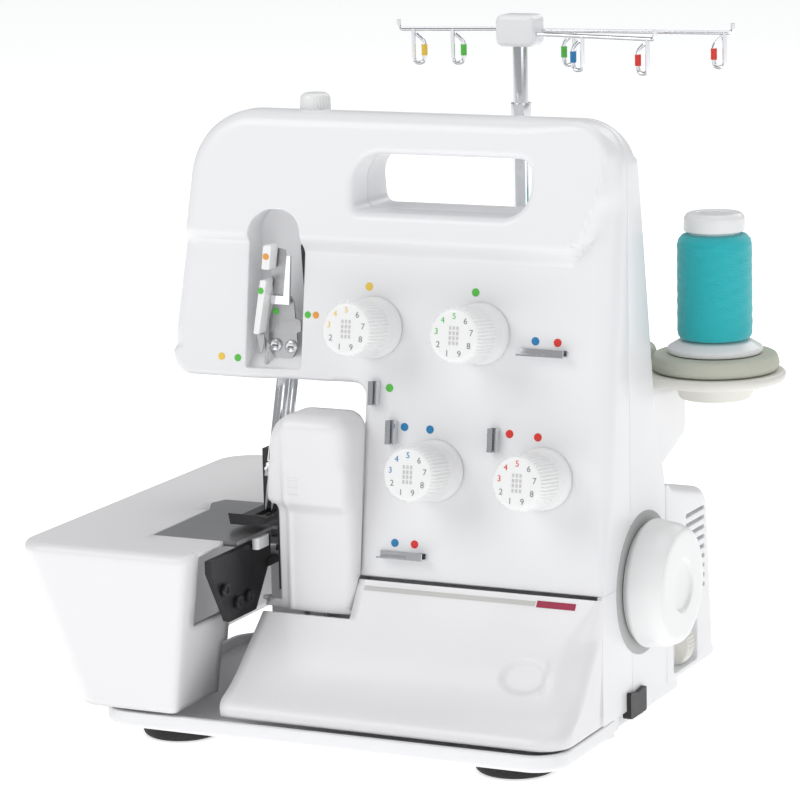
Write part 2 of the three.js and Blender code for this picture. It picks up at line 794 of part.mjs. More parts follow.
// ---------------------------------------------------------------- needle, presser and looper parts
function needleParts() {
  const bar = rod(needleBarR, -38, 52, 14).rotateX(-barLean).translate(needleX, barFootY, barFootZ);
  node("needle_bar", bar, chrome());
  const clamp = solid(box(-2.6, -3.6, -45, 2.6, 3.8, -38.4));
  const needles = [-1.6, 1.6].map((x) => solid(rod(0.7, -61, -44, 6).translate(x, 0, 0)));
  const holder = shape(union(clamp, ...needles)).rotateX(-barLean).translate(needleX, barFootY, barFootZ);
  node("needle_clamp", holder, steel());
  const presser = rod(presserBarR, -31, 40, 14).rotateX(-barLean);
  node("presser_bar", presser.translate(needleX, barFootY + barSpacing, barFootZ), chrome());
  const footY = barY(118) + barSpacing;
  const ankle = solid(box(needleX - 9, footY - 3, 104, needleX - 4.8, footY + 6, 126.8));
  const yoke = solid(box(needleX - 9, footY + 0.6, 121, needleX + 3, footY + 6, 126.8));
  const soleSide = [
    [-30, 103],
    [-28, 97.3],
    [22, 97.3],
    [22, 99.5],
    [-20, 99.5],
  ];
  const sole = solid(prismYZ(outline(soleSide), needleX - 9, needleX + 6));
  const toeGap = solid(box(needleX - 3.2, -15, 90, needleX + 4, 0, 110));
  const post = solid(box(needleX - 9, footY - 3, 98, needleX - 5, footY + 6, 110));
  node("presser_foot", shape(union(sole.subtract(toeGap), post, ankle, yoke)), black());
}

function takeUpParts() {
  const z0 = 176;
  const bracketY = recessBackY - 11.5;
  const corners = [
    [-66, z0 + 2, 4],
    [-54, z0 - 1, 4],
    [-48.6, z0 + 6, 3],
    [-48.6, z0 + 24],
    [-53, z0 + 34, 4],
    [-60, z0 + 34, 4],
    [-66, z0 + 22],
  ];
  node("thread_bracket", prismXZ(outline(corners, 3), bracketY - 2, bracketY), steel());
  const leverShape = [
    [-56, 199],
    [-52.6, 199],
    [-51.3, 222, 0.6],
    [-53.2, 222, 0.6],
  ];
  const leverBack = bracketY - 2.4;
  const leverFront = leverBack - 1.4;
  const lever = solid(prismXZ(outline(leverShape, 2), leverFront, leverBack));
  const hook = solid(prismXZ(outline(rectangle(-62, 199, -52.6, 203)), leverFront, leverBack));
  node("take_up_lever", shape(lever.add(hook)), chrome());
}

function looperParts() {
  const lower = wire([[-34, -12, 38], [-34, -12, 76], [-50, -12, 84], [-60, -12, 84]], 1.7, 6, 6);
  node("lower_looper", lower, chrome());
  const upper = wire([[-42, -18, 42], [-42, -18, 66], [-46, -18, 80], [-55, -18, 87]], 1.7, 6, 6);
  node("upper_looper", upper, chrome());
  const knife = solid(box(-51.4, -27.4, 68, -49.6, -21, 116));
  const arm = solid(box(-51.4, -27.4, 104, -49.6, -16, 116));
  node("upper_knife", shape(knife.add(arm)), black());
  const teeth = feedRows.map((x) =>
    solid(box(needleX + x - feedToothR, 3, 84, needleX + x + feedToothR, 18, plateTop - 0.8)),
  );
  const shoe = solid(box(needleX - 7.2, 3, 81.5, needleX + 8.2, 18, 85));
  node("feed_dog", shape(union(shoe, ...teeth)), steel());
  const pad = outline(rectangle(-62.2, -34, -58.4, -22, 1.6), 3);
  node("stitch_finger_knob", prismXY(pad, plateTop - 7.5, plateTop - 2.2), white());
  const lifter = [
    [34, lifterZ - 3, 2.5],
    [58, lifterZ - 3],
    [70, lifterZ - 6, 2],
    [71, lifterZ, 2],
    [58, lifterZ + 3, 3],
    [34, lifterZ + 3, 2.5],
  ];
  node("presser_lifter", prismYZ(outline(lifter, 3), lifterX - 6, lifterX + 6), black());
}

// ---------------------------------------------------------------- controls
function dials() {
  const profile = [
    [0, 0],
    [dialR + 1.2, 0],
    [dialR + 0.6, 4],
    [dialR, 8],
    [dialR - 0.2, dialHeight - 1.6],
    [dialR - 1.8, dialHeight],
    [0, dialHeight],
  ];
  const places = [
    ["left_needle", dialHighX, dialHighZ],
    ["right_needle", dialHighX + dialPitch, dialHighZ],
    ["upper_looper", dialLowX, dialLowZ],
    ["lower_looper", dialLowX + dialPitch, dialLowZ],
  ];
  for (const [name, x, z] of places) {
    const dial = node(`tension_dial_${name}`, turned(profile, 28), white(), panel);
    dial.position.set(x, upPanel(z), gap + 0.05);
  }
  const knob = [
    [0, 0],
    [knobR, 0],
    [knobR, 9],
    [knobR - 0.5, 18],
    [6, 19],
    [0, 19],
  ];
  node("pressure_knob", turned(knob, 20), white()).position.set(knobX, knobY, bodyTop - 12);
}

// Small bent-wire and sheet guides that hold the threads on the panel.
function panelGuides() {
  const upright = [
    ["panel_guide_1", -7.5, 160.6],
    ["panel_guide_2", 2, 143.3],
    ["panel_guide_3", 53.4, 143.1],
  ];
  for (const [name, x, z] of upright) {
    const back = solid(box(-2.2, -5.5, 0, 2.2, 5.5, 0.8));
    const leafA = solid(box(-2.2, -5.5, 0, -1.5, 5.5, 4));
    const leafB = solid(box(1.5, -5.5, 0, 2.2, 5.5, 4));
    const lip = solid(box(-2.2, -5.5, 3.2, 0.4, 5.5, 4));
    node(name, shape(union(back, leafA, leafB, lip)), chrome(), panel).position.set(x, upPanel(z), gap);
  }
  const flat = [
    ["panel_guide_4", 75.8, 183.6],
    ["panel_guide_5", 9.8, 87.6],
  ];
  for (const [name, x, z] of flat) {
    const foot = solid(box(-11.5, -1.6, 0, 11.5, 1.6, 0.8));
    const shelf = solid(box(-11.5, -1.6, 0, 11.5, -0.9, 5.5));
    const tip = solid(box(4, -1.6, 4.6, 11.5, 1.8, 5.5));
    node(name, shape(union(foot, shelf, tip)), chrome(), panel).position.set(x, upPanel(z), gap);
  }
}

function sideControls() {
  const rocker = [
    [6, 12.6, 1],
    [25, 12.6, 1],
    [25, 24.4, 1],
    [15.5, 23.4, 3],
    [6, 25.2, 1],
  ];
  node("power_switch", prismYZ(outline(rocker, 2), bodyRight - 2, bodyRight + 2.2), black());
  const disc = [
    [0, 0],
    [11.5, 0],
    [lengthDialR, 1.2],
    [lengthDialR, 6.8],
    [11.5, 8],
    [0, 8],
  ];
  const dial = turned(disc, 24).rotateX(Math.PI / 2);
  node("stitch_length_dial", dial.translate(bodyRight - lengthDialR + 2, 84.5, 29.2), cream());
  const inletRight = inletLeft + inletWide;
  const body = solid(box(inletLeft, motorBack - 14, inletLow, inletRight, motorBack - 2.8, inletHigh));
  const socket = solid(
    box(
      inletLeft + inletWall,
      motorBack - 11,
      inletLow + inletWall + 1,
      inletRight - inletWall,
      motorBack + 2,
      inletHigh - inletWall - 1,
    ),
  );
  node("power_inlet", shape(body.subtract(socket)), black());
}

// ---------------------------------------------------------------- spool stand
// The four spools stand in two pairs, with room for the pole between the pairs.
const innerSpool = padR + 0.4 + poleR + 0.8;
const spoolSpots = [-innerSpool - spoolPitch, -innerSpool, innerSpool, innerSpool + spoolPitch];

function spoolStand() {
  const half = innerSpool + spoolPitch;
  const trayLow = trayTop - trayThick;
  const plan = outline([
    [standX - half - trayR, standY - trayR, trayR - 0.2],
    [standX + half + trayR, standY - trayR, trayR - 0.2],
    [standX + half + trayR, standY + trayR, trayR - 0.2],
    [standX - half - trayR, standY + trayR, trayR - 0.2],
  ], 8);
  const plate = solid(prismXY(plan, trayLow, trayTop));
  const spots = spoolSpots.map((x) => standX + x);
  const bosses = spots.map((x) => solid(rod(19.5, trayLow - 8, trayLow + 1, 20).translate(x, standY, 0)));
  const pins = spots.map((x) => solid(rod(2.6, trayTop - 1, trayTop + 62, 8).translate(x, standY, 0)));
  const poleHole = solid(rod(poleR + gap, trayLow - 20, trayTop + 5, 20).translate(standX, standY, 0));
  node("spool_tray", shape(union(plate, ...bosses, ...pins).subtract(poleHole)), cream());
  spots.forEach((x, i) => {
    const section = [
      [0, 0],
      [padR, 0],
      [padR + 0.4, 3],
      [padR - 1.2, padHeight],
      [0, padHeight],
    ];
    const pad = solid(turned(section, 28));
    const eye = solid(rod(3, -2, padHeight + 2, 12));
    const disc = node(`spool_pad_${i + 1}`, shape(pad.subtract(eye)), rubberPad());
    disc.position.set(x, standY, trayTop + gap);
  });
  const arm = [
    [backY(118) + gap, 117],
    [70, 117],
    [103, 128, 3],
    [103, trayLow - gap],
    [backY(trayLow) + gap, trayLow - gap],
  ];
  const arms = [92.5, -40].map((x) => solid(prismYZ(outline(arm), x, x + 9)));
  const rail = solid(box(-40, 56.6, 138, 101.5, 66, trayLow - 8.4));
  const seat = solid(rod(10, 134, trayLow - gap, 20).translate(standX, standY, 0));
  const rib = solid(box(standX - 4, 58, 138, standX + 4, standY, trayLow - 8.4));
  const seatHole = solid(rod(poleR + gap, 139, 200, 20).translate(standX, standY, 0));
  node("stand_bracket", shape(union(...arms, rail, seat, rib).subtract(seatHole)), white());
}

const rubberPad = () => material(0xb3b5a4, 0.8);

function pole() {
  const bore = rodR + 0.2;
  const tube = new THREE.LatheGeometry(
    [
      [bore, 141],
      [poleR, 141],
      [poleR, poleTop - 10],
      [poleR + 0.3, poleTop - 9.6],
      [poleR + 0.3, poleTop],
      [bore, poleTop],
      [bore, 141],
    ].map(([r, z]) => new THREE.Vector2(r, z)),
    16,
  ).rotateX(Math.PI / 2);
  node("pole_lower", tube, chrome()).position.set(standX, standY, 0);
  node("pole_upper", rod(rodR, 158, headHeight + 4, 16), chrome()).position.set(standX, standY, 0);
}

// Wire arms of the guide head: each one ends in an open loop, and has another on its way.
function guideRoutes() {
  const z = headHeight + 8;
  return [
    { from: [-7, -2, z], heading: 193, loops: [25, 44], reach: 51 },
    { from: [7, 3, z - 1], heading: 5, loops: [19, 92], reach: 96 },
    { from: [7, -3, z - 2], heading: -11, loops: [29, 65], reach: 69 },
  ];
}

function guideWires(radius) {
  const solids = [];
  for (const { from, heading, loops, reach } of guideRoutes()) {
    const turn = THREE.MathUtils.degToRad(heading);
    const ahead = [Math.cos(turn), Math.sin(turn)];
    const at = (distance, drop) => [
      from[0] + ahead[0] * distance,
      from[1] + ahead[1] * distance,
      from[2] - drop,
    ];
    solids.push(solid(wire([at(-6, 0), at(reach, 0), at(reach, -4)], radius, 2.5, 6)));
    for (const place of loops) {
      const back = place - loopWidth;
      const bottom = [at(place, loopDrop), at(back, loopDrop)];
      const route = [at(place, 0), ...bottom, at(back, 6), at(place - 1.6, 2.6)];
      solids.push(solid(wire(route, radius, 2.6, 6)));
    }
  }
  const hub = solid(rod(4.2 + radius, headHeight + 9.5, headHeight + 13.5, 16));
  const ties = guideRoutes().map(({ from }) => {
    const nearHub = [from[0] * 0.4, from[1] * 0.4, headHeight + 10.5];
    return solid(wire([from, nearHub, [0, 0, headHeight + 11.5]], radius, 1, 6));
  });
  return union(...solids, ...ties, hub);
}

function guideHead() {
  const block = solid(prismXZ(outline(rectangle(-10, headHeight, 10, headHeight + 15, 3), 3), -7, 7));
  const poleBore = solid(rod(rodR + 0.3, headHeight - 2, headHeight + 4.4, 16));
  const pocket = guideWires(wireR + gap);
  const head = node("guide_head", shape(block.subtract(poleBore).subtract(pocket)), white());
  head.position.set(standX, standY, 0);
  node("guide_wires", shape(guideWires(wireR)), chrome()).position.set(standX, standY, 0);
}

function spool() {
  const foot = trayTop + gap + padHeight + gap;
  const threadLow = foot + 6;
  const core = [
    [3.2, 0],
    [22.2, 0],
    [22.4, 2.5],
    [17.2, 5.6],
    [12, 6.4],
    [12, 56.6],
    [14.4, 56.6],
    [14, 64.4],
    [12.6, 65.6],
    [8, 65.6],
    [8, 62],
    [3.2, 62],
    [3.2, 0],
  ];
  const reel = turned(core, 28);
  const x = standX + spoolSpots[3];
  node("spool_core", reel, white()).position.set(x, standY, foot);
  const thread = [
    [12.3, 0.8],
    [16, 0.8],
    [spoolR, 3],
    [spoolR, spoolHeight - 4.4],
    [14.6, spoolHeight],
    [12.3, spoolHeight],
    [12.3, 0.8],
  ];
  const winding = turned(thread, 32);
  node("thread", winding, material(0x22b9bf, 0.75)).position.set(x, standY, threadLow);
}

// ---------------------------------------------------------------- assembly
bodyCovers();
motorCover();
baseTray();
feet();
innerFrame();
bedCover();
stitchPlate();
clothPlate();
knifeBracket();
looperCover();
guard();
drive();
needleParts();
takeUpParts();
looperParts();
dials();
panelGuides();
sideControls();
spoolStand();
pole();
guideHead();
spool();

// The frame's origin is under the middle of the whole machine, on the surface it stands on.
const whole = new THREE.Group();
const extent = new THREE.Box3().setFromObject(root, true);
root.position.set(-(extent.min.x + extent.max.x) / 2, -(extent.min.y + extent.max.y) / 2, -extent.min.z);
whole.add(root);

export default whole;
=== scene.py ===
# %% [markdown]
# # An overlock sewing machine, shaped in cells
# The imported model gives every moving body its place. This lesson lays finer surfaces over it: each
# moulded cover, dial and chrome part is worked out with numpy and handed to Blender as one mesh.

import math

import bpy
import numpy as np
from mathutils import Matrix, Vector
from mathutils.geometry import delaunay_2d_cdt


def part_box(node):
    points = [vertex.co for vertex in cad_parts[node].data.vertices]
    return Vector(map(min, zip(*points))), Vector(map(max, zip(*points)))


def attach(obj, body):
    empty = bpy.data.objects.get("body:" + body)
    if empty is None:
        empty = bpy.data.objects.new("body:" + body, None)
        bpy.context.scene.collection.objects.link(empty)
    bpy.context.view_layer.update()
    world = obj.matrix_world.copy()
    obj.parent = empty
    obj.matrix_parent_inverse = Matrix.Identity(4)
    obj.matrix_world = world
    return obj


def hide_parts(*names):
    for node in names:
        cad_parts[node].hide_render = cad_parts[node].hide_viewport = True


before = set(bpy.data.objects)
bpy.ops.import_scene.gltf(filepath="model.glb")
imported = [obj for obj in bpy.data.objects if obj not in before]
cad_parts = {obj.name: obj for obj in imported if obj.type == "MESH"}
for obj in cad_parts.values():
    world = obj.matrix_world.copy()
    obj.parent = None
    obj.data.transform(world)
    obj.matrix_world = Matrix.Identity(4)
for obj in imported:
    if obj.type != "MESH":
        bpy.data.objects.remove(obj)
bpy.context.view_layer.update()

# %% [markdown]
# ## The maker's own coordinates
# Plans of the machine are easiest in millimetres from one of its own marks. The right front foot
# stands at (76.5, -46) on those plans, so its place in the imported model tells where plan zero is.

# %% From plan millimetres to frame metres
FRONT_RIGHT_FOOT = (76.5, -46.0)
foot_low, foot_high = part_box("foot_front_right")
PLAN_ZERO = np.array([
    (foot_low.x + foot_high.x) * 500 - FRONT_RIGHT_FOOT[0],
    (foot_low.y + foot_high.y) * 500 - FRONT_RIGHT_FOOT[1],
    0.0,
])


def metres(points):
    """Plan points in millimetres, as frame points in metres: add the place of plan zero, divide by 1000."""
    return (np.asarray(points, float) + PLAN_ZERO) / 1000


def plan_box(node):
    """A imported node's lowest and highest corner, in plan millimetres."""
    low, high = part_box(node)
    return np.array(low) * 1000 - PLAN_ZERO, np.array(high) * 1000 - PLAN_ZERO


print("plan zero is at", PLAN_ZERO.round(2), "mm")

# %% [markdown]
# ## The camera and the room
# A long lens stands to the right of the machine and a little above it. Cameras look along their own
# -Z, so the view direction and a level right-hand vector give the whole rotation; a small roll
# matches a camera that wasn't held quite level.

# %% Camera
VIEW_AZIMUTH = math.radians(25.9)
VIEW_HEIGHT = math.radians(11.0)
VIEW_ROLL = math.radians(1.3)
VIEW_DISTANCE = 1.7102
FRAME_PIXELS = 800
FOCAL_PIXELS = 3700
view_target = Vector(metres((0, 0, 156)))
forward = Vector((
    -math.sin(VIEW_AZIMUTH) * math.cos(VIEW_HEIGHT),
    math.cos(VIEW_AZIMUTH) * math.cos(VIEW_HEIGHT),
    -math.sin(VIEW_HEIGHT),
))
level_right = Vector((math.cos(VIEW_AZIMUTH), math.sin(VIEW_AZIMUTH), 0))
level_up = level_right.cross(forward)
camera_right = level_right * math.cos(VIEW_ROLL) - level_up * math.sin(VIEW_ROLL)
camera_up = level_right * math.sin(VIEW_ROLL) + level_up * math.cos(VIEW_ROLL)
camera_data = bpy.data.cameras.new("studio_camera")
camera_data.sensor_width = 36
camera_data.lens = 36 * FOCAL_PIXELS / FRAME_PIXELS
camera = bpy.data.objects.new("studio_camera", camera_data)
bpy.context.scene.collection.objects.link(camera)
turn = Matrix((camera_right, camera_up, -forward)).transposed().to_4x4()
camera.matrix_world = Matrix.Translation(view_target - forward * VIEW_DISTANCE) @ turn
bpy.context.scene.camera = camera
print("camera lens", round(camera_data.lens, 1), "mm")

# %% [markdown]
# ## Finishes
# The covers are injection-moulded plastic: a smooth white shell with a clear, slightly wavy gloss.
# Each finish is one Principled shader. Noise on Object coordinates gives it the faint unevenness that
# keeps a real surface from looking like paper, and every constant sits on the shader's own socket.

# %% A finish from a base colour and one or two noises


def finish(name, colour, roughness, metallic=0.0, coat=0.0, grain=None, wear=None, stretch=(1, 1, 1)):
    """A Principled material. grain is (size in mm, bump strength); wear is (size in mm, roughness change)."""
    material = bpy.data.materials.new(name)
    material.use_nodes = True
    nodes, links = material.node_tree.nodes, material.node_tree.links
    shader = nodes["Principled BSDF"]
    shader.inputs["Base Color"].default_value = (*colour, 1)
    shader.inputs["Roughness"].default_value = roughness
    shader.inputs["Metallic"].default_value = metallic
    shader.inputs["Coat Weight"].default_value = coat
    shader.inputs["Coat Roughness"].default_value = 0.08
    material.diffuse_color = (*colour, 1)
    place = nodes.new("ShaderNodeTexCoord")
    mapping = nodes.new("ShaderNodeMapping")
    mapping.inputs["Scale"].default_value = stretch
    links.new(place.outputs["Object"], mapping.inputs["Vector"])
    if grain:
        noise = nodes.new("ShaderNodeTexNoise")
        noise.inputs["Scale"].default_value = 1000 / grain[0]
        noise.inputs["Detail"].default_value = 3
        bump = nodes.new("ShaderNodeBump")
        bump.inputs["Strength"].default_value = grain[1]
        bump.inputs["Distance"].default_value = 0.0002
        links.new(mapping.outputs["Vector"], noise.inputs["Vector"])
        links.new(noise.outputs["Fac"], bump.inputs["Height"])
        links.new(bump.outputs["Normal"], shader.inputs["Normal"])
    if wear:
        cloud = nodes.new("ShaderNodeTexNoise")
        cloud.inputs["Scale"].default_value = 1000 / wear[0]
        cloud.inputs["Detail"].default_value = 4
        spread = nodes.new("ShaderNodeMapRange")
        spread.inputs["To Min"].default_value = max(roughness - wear[1], 0.02)
        spread.inputs["To Max"].default_value = roughness + wear[1]
        links.new(mapping.outputs["Vector"], cloud.inputs["Vector"])
        links.new(cloud.outputs["Fac"], spread.inputs["Value"])
        links.new(spread.outputs["Result"], shader.inputs["Roughness"])
    return material


SHELL_WHITE = finish("shell_white", (0.82, 0.82, 0.835), 0.36, coat=0.25, grain=(9, 0.05), wear=(40, 0.05))
COVER_WHITE = finish("cover_white", (0.80, 0.79, 0.80), 0.4, coat=0.2, grain=(9, 0.05), wear=(40, 0.05))
DIAL_WHITE = finish("dial_white", (0.84, 0.84, 0.84), 0.34, coat=0.2, grain=(4, 0.04), wear=(20, 0.04))
CREAM = finish("cream_plastic", (0.74, 0.73, 0.68), 0.42, grain=(3, 0.06), wear=(25, 0.05))
PAD = finish("pad_foam", (0.52, 0.53, 0.45), 0.85, grain=(0.7, 0.5), wear=(8, 0.06))
CHROME = finish("chrome", (0.78, 0.79, 0.81), 0.12, metallic=1, wear=(12, 0.04))
BRIGHT_STEEL = finish("bright_steel", (0.62, 0.63, 0.64), 0.28, metallic=1, grain=(0.5, 0.12), wear=(6, 0.06))
BRUSHED = finish("brushed_steel", (0.42, 0.42, 0.43), 0.36, metallic=1, grain=(0.5, 0.25), wear=(3, 0.08),
                 stretch=(0.06, 1, 1))
ALLOY = finish("cast_alloy", (0.46, 0.47, 0.48), 0.55, metallic=1, grain=(1.2, 0.5), wear=(6, 0.08))
BLACK_STEEL = finish("blackened_steel", (0.018, 0.018, 0.02), 0.38, grain=(0.8, 0.15), wear=(5, 0.08))
BLACK_PLASTIC = finish("black_plastic", (0.015, 0.015, 0.016), 0.45, grain=(0.6, 0.2), wear=(5, 0.06))
RUBBER = finish("black_rubber", (0.012, 0.012, 0.012), 0.7, grain=(1.0, 0.4), wear=(6, 0.08))
SHADOW_GAP = finish("shadow_gap", (0.05, 0.05, 0.052), 0.9, grain=(2, 0.1))
# Painted shade: the grey of the shadowed well that the handwheel sits in.
WELL_SHADE_GREY = finish("painted_well_shade", (0.46, 0.46, 0.46), 0.7, grain=(2, 0.1))
PRINT_GREY = finish("print_grey", (0.56, 0.56, 0.54), 0.5, grain=(1, 0.05))
PRINT_DARK = finish("print_dark", (0.22, 0.22, 0.22), 0.5, grain=(1, 0.05))
PRINT_CRIMSON = finish("print_crimson", (0.33, 0.002, 0.045), 0.45, grain=(1, 0.05))
DOT = {
    "yellow": finish("dot_yellow", (0.82, 0.56, 0.07), 0.45, grain=(1, 0.05)),
    "green": finish("dot_green", (0.09, 0.50, 0.06), 0.45, grain=(1, 0.05)),
    "blue": finish("dot_blue", (0.01, 0.20, 0.45), 0.45, grain=(1, 0.05)),
    "red": finish("dot_red", (0.70, 0.03, 0.02), 0.45, grain=(1, 0.05)),
    "orange": finish("dot_orange", (0.78, 0.33, 0.05), 0.45, grain=(1, 0.05)),
}
print("finishes:", len(bpy.data.materials))

# %% [markdown]
# ## Handing surfaces to Blender
# A surface worked out with numpy is an array of points and an array of faces. One function gives it to
# Blender, merges the seams where its sheets meet, lets it ride on its body and names its finish.

# %% Make a piece from points and faces
import bmesh


def piece(name, points, faces, material, body="machine", slot=None, replaces=(), sharp=38.0, merge=0.00002):
    """Points (n, 3) in plan millimetres and index rows, as a smooth object that rides on a body."""
    mesh = bpy.data.meshes.new(name)
    mesh.from_pydata(metres(points).tolist(), [], [list(map(int, face)) for face in faces])
    build = bmesh.new()
    build.from_mesh(mesh)
    bmesh.ops.remove_doubles(build, verts=build.verts, dist=merge)
    bmesh.ops.dissolve_degenerate(build, dist=merge / 4, edges=build.edges)
    if all(edge.is_manifold for edge in build.edges):
        bmesh.ops.recalc_face_normals(build, faces=build.faces)
        if build.calc_volume(signed=True) < 0:
            bmesh.ops.reverse_faces(build, faces=build.faces)
    else:
        print("open sheet:", name)
    build.to_mesh(mesh)
    build.free()
    mesh.materials.append(material)
    mesh.shade_smooth()
    mesh.set_sharp_from_angle(angle=math.radians(sharp))
    thing = bpy.data.objects.new(name, mesh)
    bpy.context.scene.collection.objects.link(thing)
    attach(thing, body)
    if replaces:
        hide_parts(*replaces)
    return thing


def joined(*parts):
    """Several (points, faces) pairs as one: each one's indices are moved up by the points before it."""
    points, faces, start = [], [], 0
    for part_points, part_faces in parts:
        points.append(np.asarray(part_points, float).reshape(-1, 3))
        faces += [[i + start for i in face] for face in part_faces]
        start += len(points[-1])
    return np.vstack(points), faces


def sheet_faces(rows, columns, close_rows=False, close_columns=False):
    """Quads over a grid of points: each joins a point, its next along the row, and the pair below them."""
    r = np.arange(rows if close_rows else rows - 1)
    c = np.arange(columns if close_columns else columns - 1)
    r, c = np.meshgrid(r, c, indexing="ij")
    down, along = (r + 1) % rows, (c + 1) % columns
    quads = np.stack([r * columns + c, down * columns + c, down * columns + along, r * columns + along], -1)
    return quads.reshape(-1, 4).tolist()


def turned_over(faces):
    """The same faces looking the other way: each one's points in reverse order."""
    return [face[::-1] for face in faces]


# %% [markdown]
# ## Outlines with true arcs
# Every moulding starts as an outline: corners with a radius each. An arc that touches both sides of a
# corner starts and ends at radius / tan(half the corner's angle) from it.

# %% Rounded outlines


def arc_corner(before, here, after, radius, step):
    """Points of the arc that touches both sides of a corner, about `step` apart."""
    back, ahead = before - here, after - here
    back, ahead = back / np.linalg.norm(back), ahead / np.linalg.norm(ahead)
    half = math.acos(np.clip(back @ ahead, -1, 1)) / 2
    bisector = (back + ahead) / np.linalg.norm(back + ahead)
    middle = here + bisector * radius / math.sin(half)
    start = here + back * radius / math.tan(half) - middle
    end = here + ahead * radius / math.tan(half) - middle
    sweep = math.atan2(start[0] * end[1] - start[1] * end[0], start @ end)
    angles = np.linspace(0, sweep, max(4, int(abs(sweep) * radius / step)) + 1)
    turned = [np.cos(angles) * start[0] - np.sin(angles) * start[1],
              np.sin(angles) * start[0] + np.cos(angles) * start[1]]
    return middle + np.stack(turned, 1)


def outline(corners, step=2.0):
    """A counter-clockwise loop through [u, v, radius] corners, its straight stretches cut into even steps."""
    spots = [np.array(corner[:2], float) for corner in corners]
    radii = [corner[2] if len(corner) > 2 else 0 for corner in corners]
    bends = []
    for i, (spot, radius) in enumerate(zip(spots, radii)):
        if radius < 0.05:
            bends.append(spot[None])
        else:
            bends.append(arc_corner(spots[i - 1], spot, spots[(i + 1) % len(spots)], radius, step))
    loop = np.vstack(bends)
    stretches = []
    for start, end in zip(loop, np.roll(loop, -1, 0)):
        pieces_count = max(1, math.ceil(np.linalg.norm(end - start) / step - 0.2))
        share = np.linspace(0, 1, pieces_count, endpoint=False)[:, None]
        stretches.append(start + (end - start) * share)
    return np.vstack(stretches)


def rectangle(u0, v0, u1, v1, radius=0.0):
    """Corners of a rectangle, all with the same radius."""
    return [[u0, v0, radius], [u1, v0, radius], [u1, v1, radius], [u0, v1, radius]]


def inward(loop):
    """Unit normals on the left of a loop's travel: its tangent turned a quarter to the left."""
    tangent = np.roll(loop, -1, 0) - np.roll(loop, 1, 0)
    tangent /= np.linalg.norm(tangent, axis=1)[:, None]
    return np.stack([-tangent[:, 1], tangent[:, 0]], 1)


def ease(x, low, high):
    """Smooth step: 0 below low, 1 above high, and 3t^2 - 2t^3 between."""
    t = np.clip((np.asarray(x, float) - low) / (high - low), 0, 1)
    return t * t * (3 - 2 * t)


# %% [markdown]
# ## A moulded block
# A cover is two faces and the band that runs round them. The band is a profile carried along the
# outline: it leaves the front face on a quarter circle, runs straight down the side and turns onto the
# back face on another. Handles and windows are the same band on a loop that runs the other way. The
# faces are filled between their loops by a Delaunay triangulation, and then lifted to their surface.

# %% The band and the filled faces
ROLL_STEPS = 7


def band(loop, front, back, front_roll, back_roll):
    """Rows (n, k, 3) of (u, v, w): inset r(1 - sin a) and depth r(1 - cos a) on each quarter-round edge."""
    normal = inward(loop)
    angle = np.linspace(0, math.pi / 2, ROLL_STEPS)
    columns = []
    for surface, roll, sign, angles in ((front, front_roll, -1, angle), (back, back_roll, 1, angle[::-1])):
        roll = np.broadcast_to(np.asarray(roll, float), len(loop))
        for a in angles:
            spot = loop + normal * (roll * (1 - math.sin(a)))[:, None]
            height = surface(spot[:, 0], spot[:, 1]) + sign * roll * (1 - math.cos(a))
            columns.append(np.column_stack([spot, height]))
    return np.stack(columns, 1)


def inside(points, loop):
    """Even-odd test for many points at once: how many of the loop's sides a ray to +u crosses."""
    a, b = loop, np.roll(loop, -1, 0)
    x, y = points[:, 0][:, None], points[:, 1][:, None]
    spans = (a[:, 1] > y) != (b[:, 1] > y)
    rise = np.where(b[:, 1] == a[:, 1], 1e-12, b[:, 1] - a[:, 1])
    crossing = a[:, 0] + (y - a[:, 1]) / rise * (b[:, 0] - a[:, 0])
    return (np.sum(spans & (x < crossing), 1) % 2).astype(bool)


def filled(loops, surface, spacing, rows=()):
    """Triangles between an outer loop and its holes, with grid points every `spacing`, lifted to w(u, v)."""
    outer = loops[0]
    low, high = outer.min(0), outer.max(0)
    u = np.arange(low[0] + spacing / 2, high[0], spacing)
    v = np.union1d(np.arange(low[1] + spacing / 2, high[1], spacing), np.asarray(rows, float))
    grid = np.stack(np.meshgrid(u, v, indexing="ij"), -1).reshape(-1, 2)
    grid = grid[inside(grid, outer)]
    for hole in loops[1:]:
        grid = grid[~inside(grid, hole)]
    border = np.vstack(loops)
    if len(grid):
        gap = np.sqrt(((grid[:, None] - border[None]) ** 2).sum(-1)).min(1)
        grid = grid[gap > 0.9]
    flat = np.vstack([border, grid])
    edges, start = [], 0
    for loop in loops:
        n = len(loop)
        edges += [(start + i, start + (i + 1) % n) for i in range(n)]
        start += n
    result = delaunay_2d_cdt([Vector(p) for p in flat.tolist()], edges, [], 0, 1e-6)
    spots = np.array([list(p) for p in result[0]])
    triangles = np.array([list(t) for t in result[2]])
    corner = spots[triangles]
    middle = corner.mean(1)
    keep = inside(middle, outer)
    for hole in loops[1:]:
        keep &= ~inside(middle, hole)
    side = corner[:, 1:] - corner[:, :1]
    area = side[:, 0, 0] * side[:, 1, 1] - side[:, 0, 1] * side[:, 1, 0]
    triangles = np.where(area[:, None] < 0, triangles[:, ::-1], triangles)[keep & (np.abs(area) > 1e-7)]
    return np.column_stack([spots, surface(spots[:, 0], spots[:, 1])]), triangles.tolist()


